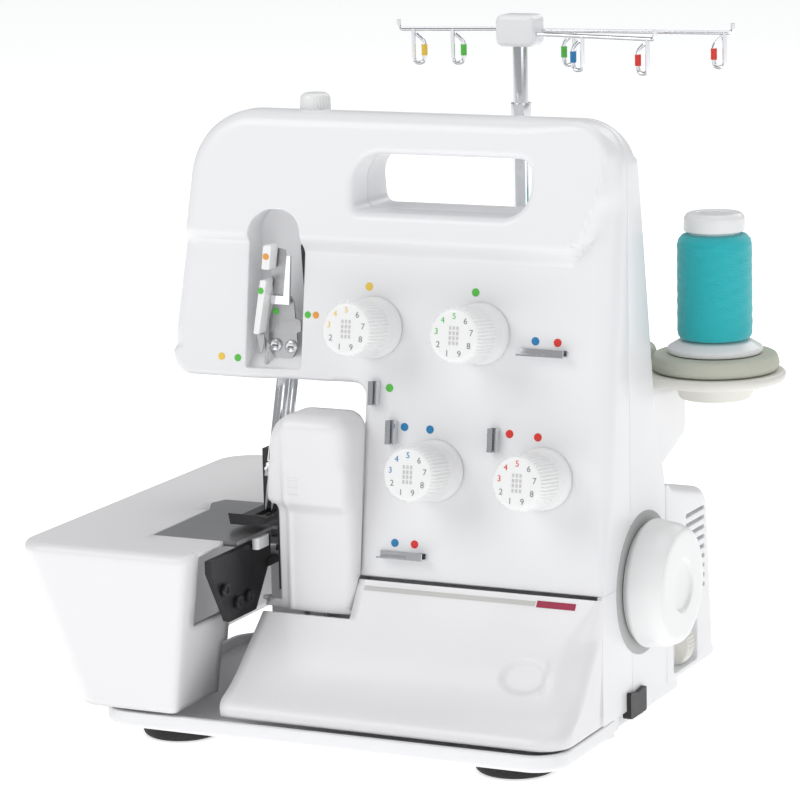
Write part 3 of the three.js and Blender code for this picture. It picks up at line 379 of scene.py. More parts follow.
def block(loop, front, back, front_roll=1.0, back_roll=1.0, tunnels=(), pockets=(), spacing=6.0, rows=()):
    """A closed solid between w = front(u, v) and w = back(u, v). A tunnel is (loop, front roll, back roll);
    a pocket is (loop, floor surface, rim roll)."""
    parts = []
    bands = [band(loop, front, back, front_roll, back_roll)]
    for hole, hole_front, hole_back in tunnels:
        bands.append(band(hole[::-1], front, back, hole_front, hole_back))
    front_loops = [rows_of[:, 0, :2] for rows_of in bands]
    back_loops = [rows_of[:, -1, :2] for rows_of in bands]
    for hole, floor, rim in pockets:
        walls = band(hole[::-1], front, floor, rim, 0.0)
        front_loops.append(walls[:, 0, :2])
        parts.append((walls.reshape(-1, 3), turned_over(sheet_faces(*walls.shape[:2], close_rows=True))))
        parts.append(filled([walls[::-1, -1, :2]], floor, spacing, rows))
    for strip in bands:
        parts.append((strip.reshape(-1, 3), turned_over(sheet_faces(*strip.shape[:2], close_rows=True))))
    parts.append(filled(front_loops, front, spacing, rows))
    points, triangles = filled(back_loops, back, spacing)
    parts.append((points, turned_over(triangles)))
    return joined(*parts)


def level(value):
    """A surface that has the same w everywhere."""
    return lambda u, v: np.full(np.shape(u), float(value))


# Ways to stand a block up: (u, v, w) onto the plan's (x, y, z).
def facing_user(part):
    """u to the right, v up, w towards the user."""
    points, faces = part
    return points[:, [0, 2, 1]] * [1, -1, 1], faces


def facing_right(part):
    """u to the back, v up, w to the right."""
    points, faces = part
    return points[:, [2, 0, 1]], faces


def facing_up(part):
    """u to the right, v to the back, w up."""
    return part


print("block tools ready")

# %% [markdown]
# ## Turned pieces and bent wires
# Dials, knobs, pads, spools and poles are turned: a profile of radius against height, carried round an
# axis. A wire is a circle carried along a path with softened corners.

# %% Turned pieces and wires


def turned(profile, sides=96, ribs=0, rib_depth=0.0, rib_rows=(0, 0)):
    """Radius r(k) and height h(k) carried round the axis: (r cos a, r sin a, h). Ribs make the radius of the
    rows in rib_rows swing by a cosine of the angle. A profile that isn't a ring is closed on the axis."""
    rows = np.array(profile, float)
    angle = np.arange(sides) * 2 * math.pi / sides
    radius = np.repeat(rows[:, :1], sides, 1)
    if ribs:
        band_rows = slice(*rib_rows)
        radius[band_rows] -= rib_depth * (0.5 - 0.5 * np.cos(angle * ribs)) ** 2
    height = rows[:, 1]
    if not np.allclose(rows[0], rows[-1]):
        on_axis = np.zeros((1, sides))
        radius = np.vstack([on_axis, radius, on_axis])
        height = np.concatenate([height[:1], height, height[-1:]])
    height = np.repeat(height[:, None], sides, 1)
    points = np.stack([radius * np.cos(angle), radius * np.sin(angle), height], -1)
    return points.reshape(-1, 3), turned_over(sheet_faces(len(radius), sides, close_columns=True))


def bevelled(profile, radius, steps=4):
    """A profile with soft corners: each becomes a quadratic curve between two points near the corner."""
    rows = np.array(profile, float)
    out = [rows[:1]]
    for before, here, after in zip(rows[:-2], rows[1:-1], rows[2:]):
        reach = min(radius, np.linalg.norm(before - here) * 0.45, np.linalg.norm(after - here) * 0.45)
        start = here + (before - here) / np.linalg.norm(before - here) * reach
        end = here + (after - here) / np.linalg.norm(after - here) * reach
        t = np.linspace(0, 1, steps + 1)[:, None]
        out.append((1 - t) ** 2 * start + 2 * t * (1 - t) * here + t ** 2 * end)
    out.append(rows[-1:])
    return np.vstack(out)


def placed(part, at=(0, 0, 0), x=(1, 0, 0), z=(0, 0, 1)):
    """A part turned so that its own z and x axes lie along the ones given, then moved."""
    z = np.array(z, float) / np.linalg.norm(z)
    x = np.array(x, float) - z * np.dot(x, z)
    x /= np.linalg.norm(x)
    frame_axes = np.stack([x, np.cross(z, x), z])
    points, faces = part
    return points @ frame_axes + np.array(at, float), faces


def softened(corners, bend, steps=7):
    """A 3-D polyline whose corners become quadratic curves that start `bend` before each corner."""
    return bevelled(corners, bend, steps)


def tube(path, radius, sides=16, reference=(0, 0, 1)):
    """A circle carried along a path: c + r (cos a n + sin a b), with n at right angles to a reference."""
    path = np.array(path, float)
    path = path[np.concatenate([[True], np.linalg.norm(np.diff(path, axis=0), axis=1) > 1e-4])]
    tangent = np.gradient(path, axis=0)
    tangent /= np.linalg.norm(tangent, axis=1)[:, None]
    side = np.cross(tangent, np.array(reference, float))
    side /= np.linalg.norm(side, axis=1)[:, None]
    other = np.cross(side, tangent)
    angle = np.arange(sides) * 2 * math.pi / sides
    ring = side[:, None] * np.cos(angle)[None, :, None] + other[:, None] * np.sin(angle)[None, :, None]
    points = (path[:, None] + ring * radius).reshape(-1, 3)
    last = (len(path) - 1) * sides
    faces = sheet_faces(len(path), sides, close_columns=True)
    faces += [list(range(sides)), [last + i for i in range(sides)][::-1]]
    return points, faces


def straight(start, end, count=2):
    """Points evenly along a line."""
    return np.linspace(start, end, count)


def slab(low, high, radius=0.4):
    """A box between two corners with all its edges softened: a rounded block that stands along z."""
    low, high = np.array(low, float), np.array(high, float)
    radius = min(radius, *(high - low) * 0.45)
    loop = outline(rectangle(low[0], low[1], high[0], high[1], radius), 1.5)
    return block(loop, level(high[2]), level(low[2]), radius * 0.8, radius * 0.8, spacing=50)


# %% [markdown]
# ## The front cover
# The big moulding leans back by one in seven. Its top is a thicker cap, 7 mm proud of the dial panel,
# with a curved lip that fades out towards the right wall. The carrying handle goes right through, and
# the needle recess is a pocket whose floor climbs from the arm's underside.

# %% Surfaces of the body
PANEL_LEAN = 0.14
PANEL_FOOT = 21.4
SEAM = 76.35
SPLIT = 13.2
BODY = [
    [-14, SEAM, 1], [109, SEAM, 0], [109, 288, 22], [-105, 288, 34], [-114.5, 185, 20], [-113.5, 164, 11],
    [-14, 164, 6],
]
HANDLE = [[-20.5, 243.5, 4], [68, 243.5, 14], [68, 270, 6], [-20.5, 270, 14]]
RECESS = [[-74, 169, 1.5], [-47, 169, 1.5], [-47, 243, 11], [-74, 243, 13]]
CAP_EDGE = np.array([
    [222, 87], [232, 94.6], [236, 99], [243, 102], [255, 107], [274, 109.5], [290, 104],
], float)


def panel_front(x, z):
    """How far the dial panel stands in front of y = 0: it loses 0.14 mm for each mm of height."""
    return PANEL_FOOT - PANEL_LEAN * (np.asarray(z, float) - 76)


def body_front(x, z):
    """The panel, plus a 7 mm cap above the lip and a 4 mm step on the needle side."""
    above = (z - 222) / 10
    within = (np.interp(z, CAP_EDGE[:, 0], CAP_EDGE[:, 1]) - x) / 6
    cap = ease(np.minimum(above, within), 0, 1) * 7
    left = 4 * ease(-x, 47, 74)
    return panel_front(x, z) + np.maximum(cap, left)


def body_back(x, z):
    """The rear wall, as depth behind y = 0: upright, then leaning forward and curving over at the top."""
    z = np.asarray(z, float)
    return -(56 - 0.15 * np.maximum(z - 118, 0) - 0.0038 * np.maximum(z - 255, 0) ** 2)


def recess_floor(x, z):
    """The needle recess: its floor slopes back from the panel at 169 mm, then runs up at y = 8."""
    return np.interp(z, [169, 184, 192], [8.2, -5, -8])


body_loop = outline(BODY, 2.2)
along, height = body_loop.T
front_roll = np.full(len(body_loop), 4.0)
front_roll = np.where(along > 60, 3 + 6 * ease(height, 80, 120) - 5.5 * ease(height, 245, 262), front_roll)
front_roll = np.where(height > 280, 7 - 3.5 * ease(along, 60, 100), front_roll)
front_roll = np.where((along < -80) & (height > 175), 9 - 2 * ease(height, 255, 288), front_roll)
front_roll = np.where(height < SEAM + 1.5, 0.9, front_roll)
front_roll = np.where((along < -30) & (height < 166), 2.6, front_roll)
lip_rows = np.arange(218, 240, 1.4)
handle_loop = outline(HANDLE, 1.6)
recess_loop = outline(RECESS, 1.4)
front = block(
    body_loop, body_front, level(-SPLIT + 0.2), front_roll, 0.6,
    tunnels=[(handle_loop, 3.6, 0.5)], pockets=[(recess_loop, recess_floor, 0.8)], spacing=2.0, rows=lip_rows)
WALL_LOW = 16.2
LOOPER_WALL_Y = 8
CHEEK_FRONT = 21.5
looper_wall_loop = outline(rectangle(-14, WALL_LOW, 106.2, SEAM + 0.4, 0.8), 4)
looper_wall = block(looper_wall_loop, level(LOOPER_WALL_Y), level(-SPLIT), 0.5, 0.5)
cheek_loop = outline(rectangle(106.45, WALL_LOW, 109, SEAM - 0.05, 0.5), 3)
cheek = block(cheek_loop, level(CHEEK_FRONT), level(-SPLIT + 0.2), 0.4, 0.4)
piece("front_cover_shell", *facing_user(joined(front, looper_wall, cheek)), SHELL_WHITE,
      slot="shell_white", replaces=["front_cover"])
print("front cover:", len(front[0]), "points")

# %% [markdown]
# ## The rear cover
# The back half meets the front one in a fine groove at y = 13. Its corners are rounder than the front's,
# because the machine is lifted and carried from behind.

# %% Rear cover
REAR = [[-14, WALL_LOW, 1], [109, WALL_LOW, 0]] + BODY[2:]
rear_loop = outline(REAR, 2.2)
rear_roll = np.full(len(rear_loop), 3.0)
rear_roll = np.where(rear_loop[:, 0] > 90, 0.8 + 8.2 * ease(rear_loop[:, 1], 108, 150), rear_roll)
rear_roll = np.where(rear_loop[:, 0] < -90, 11.0, rear_roll)
rear_roll = np.where(rear_loop[:, 1] > 270, 12.0, rear_roll)
rear_roll = np.where(rear_loop[:, 1] < 20, 0.8, rear_roll)
rear = block(rear_loop, level(-SPLIT - 0.2), body_back, 0.6, rear_roll,
             tunnels=[(handle_loop, 0.5, 4.0)], spacing=6.0)
piece("rear_cover_shell", *facing_user(rear), SHELL_WHITE, slot="shell_white", replaces=["rear_cover"])

# %% [markdown]
# ## The motor housing
# A box with soft shoulders behind the body. Nine cooling slots, the stitch length window and the
# switch sit in its right wall, so the side outline is the block's face and the slots are pockets.

# %% Motor housing
MOTOR = [[56.4, 16.3, 0.8], [119.6, 16.3, 5], [111.8, 100, 13], [56.4, 113, 2]]
VENT_LOW, VENT_STEP, VENT_HIGH, VENT_FLOOR = 53, 4.7, 1.9, 105.4
WINDOW_FLOOR = 103.5
motor_loop = outline(MOTOR, 2.0)
vents = [(outline(rectangle(82, z, 106, z + VENT_HIGH, 0.9), 1.0), level(VENT_FLOOR), 0.4)
         for z in VENT_LOW + VENT_STEP * np.arange(9)]
length_window = (outline(rectangle(65, 19, 96, 39.5, 2.5), 1.5), level(WINDOW_FLOOR), 0.6)
motor_roll = 0.8 + 4.2 * ease(motor_loop[:, 0], 58, 66) * ease(motor_loop[:, 1], 17, 22)
motor = block(motor_loop, level(109), level(-14), motor_roll, motor_roll,
              pockets=vents + [length_window], spacing=6.0)
piece("motor_housing_shell", *facing_right(motor), SHELL_WHITE, slot="shell_white", replaces=["motor_cover"])

# %% [markdown]
# ## The base and its feet
# A shallow tray carries everything. Its front corners follow the looper cover above it.

# %% Base and feet
BASE = [
    [-127, -76, 22], [109, -76, 16], [109, -8.4, 0.4], [106.15, -8.4, 0.3],
    [106.15, 3, 0.5], [104.4, 4.5, 0.5], [104.4, 28.5, 0.5], [106.15, 30, 0.5],
    [106.15, 79.1, 3], [-127, 79.1, 18],
]
WELL = [[-124, -73, 19], [106, -73, 13], [106, -11, 0.6], [-15, -11, 1], [-15, 76, 1], [-124, 76, 15]]
base_loop = outline(BASE, 2.5)
thin_end = (base_loop[:, 0] > 100) & (base_loop[:, 1] > -16) & (base_loop[:, 1] < 34)
base = block(base_loop, level(16), level(8.2), np.where(thin_end, 0.3, 0.9), np.where(thin_end, 0.3, 2.4),
             pockets=[(outline(WELL, 2.5), level(11), 0.6)], spacing=14)
piece("base_tray_shell", *facing_up(base), SHELL_WHITE, slot="shell_white", replaces=["base_tray"])
FOOT = [[0, 0], [15.5, 0], [17.2, 0.5], [18.4, 1.6], [18.9, 3.2], [18.9, 7.6], [0, 7.6]]
for corner in ("front_left", "front_right", "rear_left", "rear_right"):
    low, high = plan_box("foot_" + corner)
    foot = placed(turned(bevelled(FOOT, 0.6), 64), ((low[0] + high[0]) / 2, (low[1] + high[1]) / 2, 0))
    piece("rubber_foot_" + corner, *foot, RUBBER, slot="foot_rubber", replaces=["foot_" + corner])

# %% [markdown]
# ## The looper cover
# The door in front of the loopers slopes like the front of a ship: steep under the seam, then out and
# down to the base. It is a sheet worked out as a function of height and of the way along its section:
# a straight front, a rounded corner and a short wing along the right wall. Solidify gives it its wall.

# %% Looper cover
COVER_LINE = np.array([
    [17.2, -71.5], [21, -70.9], [30, -59.5], [47, -45], [62, -33.5], [70, -28.2], [75.65, -24.4],
])
WING_BACK = -22.0
DOOR_WALL = 0.002
GUARD_RIGHT = -11.15
GUARD_FOOT = 59.2


def cover_line(z):
    """The front face's y at a height: a cubic curve through the table's points, its slopes their averages."""
    heights, depths = COVER_LINE.T
    slopes = np.gradient(depths, heights)
    i = np.clip(np.searchsorted(heights, z) - 1, 0, len(heights) - 2)
    span = heights[i + 1] - heights[i]
    t = np.clip((z - heights[i]) / span, 0, 1)
    return ((2 * t ** 3 - 3 * t ** 2 + 1) * depths[i] + (t ** 3 - 2 * t ** 2 + t) * span * slopes[i]
            + (3 * t ** 2 - 2 * t ** 3) * depths[i + 1] + (t ** 3 - t ** 2) * span * slopes[i + 1])


def door_relief(x, z):
    """Depth of the thumb hollow and height of the two curved ridges beside it, outwards from the face."""
    hollow = ease(1 - np.hypot((x - 81) / 12.5, (z - 43.5) / 7.2), 0, 0.35)
    ridges = 0.0
    for bow in (92.0, 96.5):
        away = np.abs(x - bow + 0.055 * (z - 43.5) ** 2 * 0.35)
        ridges = ridges + ease(0.9 - away, 0, 0.7) * ease(7.5 - np.abs(z - 43.5), 0, 1)
    return -1.6 * hollow + 0.35 * ridges


door_z = np.unique(np.concatenate([
    np.arange(17.2, 34, 1.2), np.arange(34, 53, 0.6), np.arange(53, 75.65, 1.4), [GUARD_FOOT, 75.65]]))
rows = []
for z in door_z:
    y = float(cover_line(z))
    left = np.interp(z, [16, 24, 36, 59, 80], [-60, -62, -60, -56, -56])
    corner = min(14.0, WING_BACK - y - 0.3)
    flat = np.concatenate([np.linspace(left, GUARD_RIGHT, 12)[:-1], np.linspace(GUARD_RIGHT, 60, 18)[:-1],
                           np.linspace(60, 109 - corner, 50)[:-1]])
    turn_angle = np.linspace(-math.pi / 2, 0, 14)
    x_line = np.concatenate([flat, 109 - corner + corner * np.cos(turn_angle), np.full(6, 109.0)])
    y_line = np.concatenate([np.full(len(flat), y), y + corner + corner * np.sin(turn_angle),
                             np.linspace(y + corner, WING_BACK, 7)[1:]])
    relief = door_relief(x_line, z) * (x_line < 105)
    rows.append(np.stack([x_line, y_line - relief * 0.72, np.full(len(x_line), z) + relief * 0.69], 1))
door = np.stack(rows)
door_faces = sheet_faces(door.shape[0], door.shape[1])
flat_door = door.reshape(-1, 3)
middles = flat_door[np.array(door_faces)].mean(1)
door_faces = [f for f, m in zip(door_faces, middles) if m[2] < GUARD_FOOT or m[0] > GUARD_RIGHT]
door_piece = piece("looper_cover_door", flat_door, turned_over(door_faces), COVER_WHITE, body="cover_door",
                   slot="shell_white", replaces=["looper_cover"])


def thicken(thing, thickness, inwards=-1.0):
    """A Solidify modifier: offset -1 keeps the drawn surface as the outer one."""
    wall = thing.modifiers.new("wall", "SOLIDIFY")
    wall.thickness = thickness
    wall.offset = inwards
    wall.use_even_offset = False
    return thing


thicken(door_piece, DOOR_WALL)

# %% [markdown]
# ## The guard over the loopers
# A deep hood on the door keeps fingers from the loopers. Its nose stands proud above a step, and its
# left side is open, because the knife works there.

# %% Guard
GUARD = [[-59.6, 59.5, 0.5], [-11.6, 59.5, 3], [-11.6, 152.3, 9], [-53, 152.3, 15]]


def guard_front(x, z):
    """Nose 35.5 mm out above 112 mm, 31 mm below 106 mm; the strip left of a soft ridge is 1.4 mm lower."""
    nose = 31 + 4.5 * ease(z, 105.5, 112.5)
    crown = -0.0035 * (x + 30) ** 2
    strip = -1.5 * ease(-44.2 - x, 0, 2.2) + 0.5 * ease(1.6 - np.abs(x + 43.2), 0, 1.4)
    ribs = 0.0
    for z_rib in (116.5, 119.5, 122.5):
        reach = ease(x, -42.5, -41.5) * ease(-x, 35.5, 36.5)
        ribs = ribs + 0.5 * ease(0.9 - np.abs(z - z_rib), 0, 0.7) * reach
    return nose + crown + strip + ribs


def guard_back(x, z):
    """Just off the panel above the seam, and level with the door below it."""
    return np.where(np.asarray(z) > 76, panel_front(x, z) + 0.9, 24.6)


guard_loop = outline(GUARD, 1.6)
guard_roll = np.where(guard_loop[:, 1] > 130, 6.5, 4.5)
guard_roll = np.where(guard_loop[:, 1] < 61, 0.4, guard_roll)
guard_band = band(guard_loop, guard_front, guard_back, guard_roll, 0.0)
guard_band = np.concatenate([guard_band[:, :ROLL_STEPS], guard_band[:, -1:]], 1)
steps_down = np.linspace(0, 1, 8)[None, :, None]
side_rows = guard_band[:, ROLL_STEPS - 1:ROLL_STEPS] * (1 - steps_down) + guard_band[:, -1:] * steps_down
guard_band = np.concatenate([guard_band[:, :ROLL_STEPS], side_rows[:, 1:]], 1)
cap_points, cap_faces = filled([guard_band[:, 0, :2]], guard_front, 0.8)
guard_faces = turned_over(sheet_faces(*guard_band.shape[:2], close_rows=True))
points, faces = joined((guard_band.reshape(-1, 3), guard_faces), (cap_points, cap_faces))
corner_middles = np.array([points[list(f)].mean(0) for f in faces])
open_side = ((corner_middles[:, 0] < -50) & (corner_middles[:, 2] < 30.6)
             & (corner_middles[:, 1] > 63.5) & (corner_middles[:, 1] < 126))
faces = [f for f, cut in zip(faces, open_side) if not cut]
guard_piece = piece("looper_guard", *facing_user((points, faces)), COVER_WHITE, body="cover_door",
                    slot="shell_white", replaces=["cover_guard"])
thicken(guard_piece, DOOR_WALL)

# %% [markdown]
# ## The cloth plate
# The work rests on a box that hangs over the left of the bed. Its sides lean in towards the foot, its
# upper edge is rolled, and the metal plate sits in a notch in its top. The walls are the outline
# carried up a profile; the top is filled inside the last row, with the notch cut out of it.

# %% Cloth plate
PLATE_TOP = 95.0
CLOTH_FOOT = 18.0
EDGE_ROLL = 4.5
NOTCH = [[-67, -51.85], [-104.4, -51.85], [-105.4, 6], [-111.4, 18], [-108.4, 27.35], [-67, 27.35]]


def cornered(corners, arc_steps, side_steps):
    """A loop with the same count of points whatever its size: soft corners and even steps between them."""
    spots = [np.array(c[:2], float) for c in corners]
    arcs = [arc_corner(spots[i - 1], spots[i], spots[(i + 1) % 4], corners[i][2], 1e9) for i in range(4)]
    fine = []
    for i, arc in enumerate(arcs):
        t = np.linspace(0, 1, arc_steps + 1)[:, None]
        start, end, spot = arc[0], arc[-1], spots[i]
        pull = 0.55 * spot + 0.45 * (start + end) / 2
        fine.append((1 - t) ** 2 * start + 2 * t * (1 - t) * pull + t ** 2 * end)
        following = arcs[(i + 1) % 4][0]
        fine.append(end + (following - end) * np.linspace(0, 1, side_steps + 2)[1:-1, None])
    return np.vstack(fine)


def cloth_ring(z, inset_by):
    """The plate's outline at a height: down to the foot, its left leans in by 24 mm, its front by 10 mm."""
    share = (PLATE_TOP - z) / (PLATE_TOP - CLOTH_FOOT)
    left = -160 + 24 * share + inset_by
    front_y = -88 + 10 * share + inset_by
    right = -67 - 14 * share
    back = 130 - inset_by
    corners = [[left, front_y, 12], [right, front_y, 2.5], [right, back, 2.5], [left, back, 14]]
    return np.column_stack([cornered(corners, 8, 40), np.full(4 * 49, z)])


roll_angle = np.linspace(0, math.pi / 2, 7)
levels = np.concatenate([
    np.column_stack([np.linspace(CLOTH_FOOT, PLATE_TOP - EDGE_ROLL, 30), np.zeros(30)]),
    np.column_stack([
        PLATE_TOP - EDGE_ROLL * (1 - np.sin(roll_angle)), EDGE_ROLL * (1 - np.cos(roll_angle)),
    ])[1:],
])
cloth = np.stack([cloth_ring(z, inset_by) for z, inset_by in levels])
wall_points = cloth.reshape(-1, 3)
wall_faces = sheet_faces(*cloth.shape[:2], close_columns=True)
middles = wall_points[np.array(wall_faces)].mean(1)
on_right = middles[:, 0] > -67.8 - 14 * (PLATE_TOP - middles[:, 2]) / (PLATE_TOP - CLOTH_FOOT)
window_front = np.interp(middles[:, 2], [58, 95], [-70, -76])
opened = on_right & (middles[:, 2] > 58) & (middles[:, 1] > window_front)
opened |= on_right & (middles[:, 1] > -36) & (middles[:, 2] < 70)
wall_faces = [f[::-1] for f, cut in zip(wall_faces, opened) if not cut]
rim = cloth[-1][:, :2]
past_notch = (rim[:, 0] > -67.5) & (rim[:, 1] > NOTCH[0][1]) & (rim[:, 1] < NOTCH[-1][1])
order = np.arange(len(rim))
first_cut = order[past_notch].min()
top_loop = np.vstack([rim[:first_cut], np.array(NOTCH), rim[order[past_notch].max() + 1:]])
top_points, top_faces = filled([top_loop], level(PLATE_TOP), 9)
points, faces = joined((wall_points, wall_faces), (top_points, top_faces))
cloth_piece = piece("cloth_plate_shell", points, faces, COVER_WHITE, body="cloth_table",
                    slot="shell_white", replaces=["cloth_plate"])
thicken(cloth_piece, 0.0022)

# %% [markdown]
# ## Tension dials
# Four thumbwheels stand 29 mm out of the panel. Each is turned with fine grip ribs round its side, and
# its face carries the numbers 1 to 9 on a ring. The middle of the range is printed in colour.

# %% Dials with their numbers
DIAL_HEIGHT = 29.5
DIAL_R = 13.0
DIAL_PROFILE = bevelled([
    [14.2, 0], [14.2, 2.2], [13.0, 5.4], [DIAL_R, 12], [DIAL_R, 27.6], [11.4, DIAL_HEIGHT], [0, DIAL_HEIGHT],
], 1.2)
PANEL_NORMAL = np.array([0, -1, PANEL_LEAN]) / math.hypot(1, PANEL_LEAN)
PANEL_UP = np.array([0, PANEL_LEAN, 1]) / math.hypot(1, PANEL_LEAN)


def on_panel(x, z, proud_by=0.0):
    """The point of the dial panel at (x, z), moved out along the panel's normal."""
    return np.array([x, -panel_front(x, z), z]) + PANEL_NORMAL * proud_by


def on_panel_axes(part, x, z, proud_by=0.0):
    """A part drawn flat (x right, y up, z out), laid on the dial panel."""
    return placed(part, on_panel(x, z, proud_by), x=(1, 0, 0), z=PANEL_NORMAL)


def lettering(name, text, size, at, x_axis, normal, material, body, slot="dial_white"):
    """Text turned into a thin mesh: its letters are filled and pushed out by 0.05 mm."""
    curve = bpy.data.curves.new(name, "FONT")
    curve.body = text
    curve.size = size / 1000
    curve.extrude = 0.00004
    curve.align_x = "CENTER"
    curve.align_y = "CENTER"
    drawn = bpy.data.objects.new(name + "_drawn", curve)
    bpy.context.scene.collection.objects.link(drawn)
    bpy.context.view_layer.update()
    mesh = bpy.data.meshes.new_from_object(drawn.evaluated_get(bpy.context.evaluated_depsgraph_get()))
    bpy.data.objects.remove(drawn)
    bpy.data.curves.remove(curve)
    local = np.zeros(len(mesh.vertices) * 3)
    mesh.vertices.foreach_get("co", local)
    faces = [list(polygon.vertices) for polygon in mesh.polygons]
    bpy.data.meshes.remove(mesh)
    return piece(name, *placed((local.reshape(-1, 3) * 1000, faces), at, x_axis, normal), material, body=body,
                 slot=slot, merge=0.000001)


NUMBER_RING_R = 8.7
DEGREES_PER_NUMBER = 40
DIALS = [
    ("left_needle", -9.5, 190.4, "yellow"), ("right_needle", 44.3, 190.4, "green"),
    ("upper_looper", 24.1, 127.2, "blue"), ("lower_looper", 77.9, 127.2, "red"),
]
for name, x, z, colour in DIALS:
    body_name = name + "_dial"
    turned_dial = turned(DIAL_PROFILE, 240, ribs=48, rib_depth=0.5, rib_rows=(13, 22))
    wheel_part = on_panel_axes(turned_dial, x, z, 0.45)
    piece("tension_dial_" + name + "_wheel", *wheel_part, DIAL_WHITE, body=body_name, slot="dial_white",
          replaces=["tension_dial_" + name])
    for digit in range(1, 10):
        a = math.radians(90 - DEGREES_PER_NUMBER * (digit - 5))
        ring = np.array([1, 0, 0]) * math.cos(a) + PANEL_UP * math.sin(a)
        spot = on_panel(x, z, DIAL_HEIGHT + 0.5) + ring * NUMBER_RING_R
        ink = DOT[colour] if digit in (3, 4, 5) else PRINT_DARK
        lettering(f"number_{digit}_{name}", str(digit), 3.9, spot, (1, 0, 0), PANEL_NORMAL, ink, body_name)
    cells = [slab([u - 0.55, v - 0.8, 0], [u + 0.55, v + 0.8, 0.1], 0.1)
             for u in (-1.8, 0, 1.8) for v in (-3.4, -1.1, 1.1, 3.4)]
    marks = on_panel_axes(joined(*cells), x, z, DIAL_HEIGHT + 0.46)
    piece("guide_marks_" + name, *marks, PRINT_GREY, body=body_name, slot="dial_white")
print("dials:", len(DIALS))

# %% [markdown]
# ## Threading dots
# Each thread's route is printed on the panel as small discs of its colour, so that four threads can be
# told apart. They are thin turned discs.

# %% Dots
DOT_R = 1.9
dot_disc = turned(bevelled([[DOT_R, 0], [DOT_R, 0.15], [0, 0.15]], 0.06), 32)
PANEL_DOTS = [
    (-13.0, 208.9, "yellow"), (40.8, 208.9, "green"), (20.6, 145.7, "blue"), (74.4, 145.7, "red"),
    (-0.7, 163.3, "green"), (7.7, 146.0, "blue"), (60.4, 146.3, "red"),
    (71.3, 188.6, "blue"), (82.2, 188.5, "red"),
    (5.0, 92.8, "blue"), (15.0, 92.9, "red"),
]
for i, (x, z, colour) in enumerate(PANEL_DOTS):
    laid_dot = on_panel_axes(dot_disc, x, z, 0.02)
    piece(f"threading_dot_{i + 1}_{colour}", *laid_dot, DOT[colour], slot="shell_white")

# %% [markdown]
# ## The handwheel
# It turns the main shaft by hand. Its rim narrows outwards, and the end is dished round a small hub.

# %% Handwheel
WHEEL = bevelled([
    [0, -1.2], [27, -1.2], [28, 0], [30, 2.2], [28.6, 12.5], [26.4, 17.4], [23.6, 18], [12.4, 18],
    [11.6, 16.4], [0, 15.4],
], 1.6, 5)
SHAFT_Y, SHAFT_Z = 28.5, 72.3
wheel = placed(turned(WHEEL, 160), (110.6, SHAFT_Y, SHAFT_Z), x=(0, 0, 1), z=(1, 0, 0))
piece("handwheel_turned", *wheel, DIAL_WHITE, body="drive_shaft", slot="dial_white", replaces=["handwheel"])
# The thin grey disc on the side wall round the wheel is painted shade: it stands in for the shadow in the
# wheel's well, which the wall itself doesn't have.
WELL_SHADE_RING = [[33.4, 0], [33.4, 0.5], [0, 0.5]]
well_shade_ring = placed(turned(WELL_SHADE_RING, 96), (108.7, SHAFT_Y, SHAFT_Z), x=(0, 0, 1), z=(1, 0, 0))
piece("handwheel_well_shade", *well_shade_ring, WELL_SHADE_GREY, slot="shell_white")

# %% [markdown]
# ## Thread stand
# The cones stand on a long tray behind the machine. Every place has a foam pad that keeps a cone from
# spinning on. The pole telescopes, and its head carries bent chrome wires with an open loop for each
# thread. A sleeve of its thread's colour marks each loop.

# %% Tray, pads and bracket
STAND_X, STAND_Y = 25.4, 86.0
SPOOL_X = [STAND_X + d for d in (-97.2, -35.8, 35.8, 97.2)]
TRAY_TOP = 162.5
tray_loop = outline(rectangle(-104.8, 53.1, 155.6, 118.9, 32.6), 2.5)
tray = block(tray_loop, level(TRAY_TOP), level(157.6), 1.8, 2.6, spacing=12)
tray_parts = [tray]
for x in SPOOL_X:
    cup = turned(bevelled([[0, 149.5], [16.8, 149.5], [19.3, 156.8], [19.6, 158.4], [0, 158.4]], 1.2), 64)
    pin = turned(bevelled([[0, 160], [2.7, 160], [2.5, 222], [1.4, 224.6], [0, 224.6]], 0.8), 32)
    tray_parts += [placed(cup, (x, STAND_Y, 0)), placed(pin, (x, STAND_Y, 0))]
piece("spool_tray_plate", *joined(*tray_parts), CREAM, slot="cream_plastic", replaces=["spool_tray"])
PAD_PROFILE = bevelled([[3, 8], [3, 0], [29.2, 0], [30.3, 3.2], [28.8, 7.9], [3, 8]], 1.6)
for i, x in enumerate(SPOOL_X):
    pad = placed(turned(PAD_PROFILE, 128), (x, STAND_Y, TRAY_TOP + 0.35))
    piece(f"foam_pad_{i + 1}", *pad, PAD, slot="pad_grey", replaces=[f"spool_pad_{i + 1}"])

ARM_TOP = 157.2
ARM_WIDE = 9
ARM = [[56.5, 117, 0.5], [70, 117, 6], [103, 128, 4], [103, ARM_TOP, 0.5], [50.6, ARM_TOP, 0.5]]
RAIL_LOW, RAIL_HIGH = 138, 149
arm_loop = outline(ARM, 2)
arm_roll = 0.4 + 1.8 * ease(arm_loop[:, 0], 60, 68) * ease(ARM_TOP - arm_loop[:, 1], 2, 8)
arms = [facing_right(block(arm_loop, level(x + ARM_WIDE), level(x), arm_roll, arm_roll, spacing=10))
        for x in (92.5, -40.0)]
rail_loop = outline(rectangle(56.8, RAIL_LOW, 66, RAIL_HIGH, 1.5), 2)
rail = facing_right(block(rail_loop, level(99), level(-38), 0.5, 0.5, spacing=12))
seat_profile = bevelled([[0, 134], [8.6, 134], [10, 140], [10, ARM_TOP], [0, ARM_TOP]], 1)
seat = placed(turned(seat_profile, 64), (STAND_X, STAND_Y, 0))
rib = slab([STAND_X - 4, 60, RAIL_LOW], [STAND_X + 4, STAND_Y, RAIL_HIGH], 1)
piece("stand_arms", *joined(*arms, rail, seat, rib), SHELL_WHITE, slot="shell_white",
      replaces=["stand_bracket"])

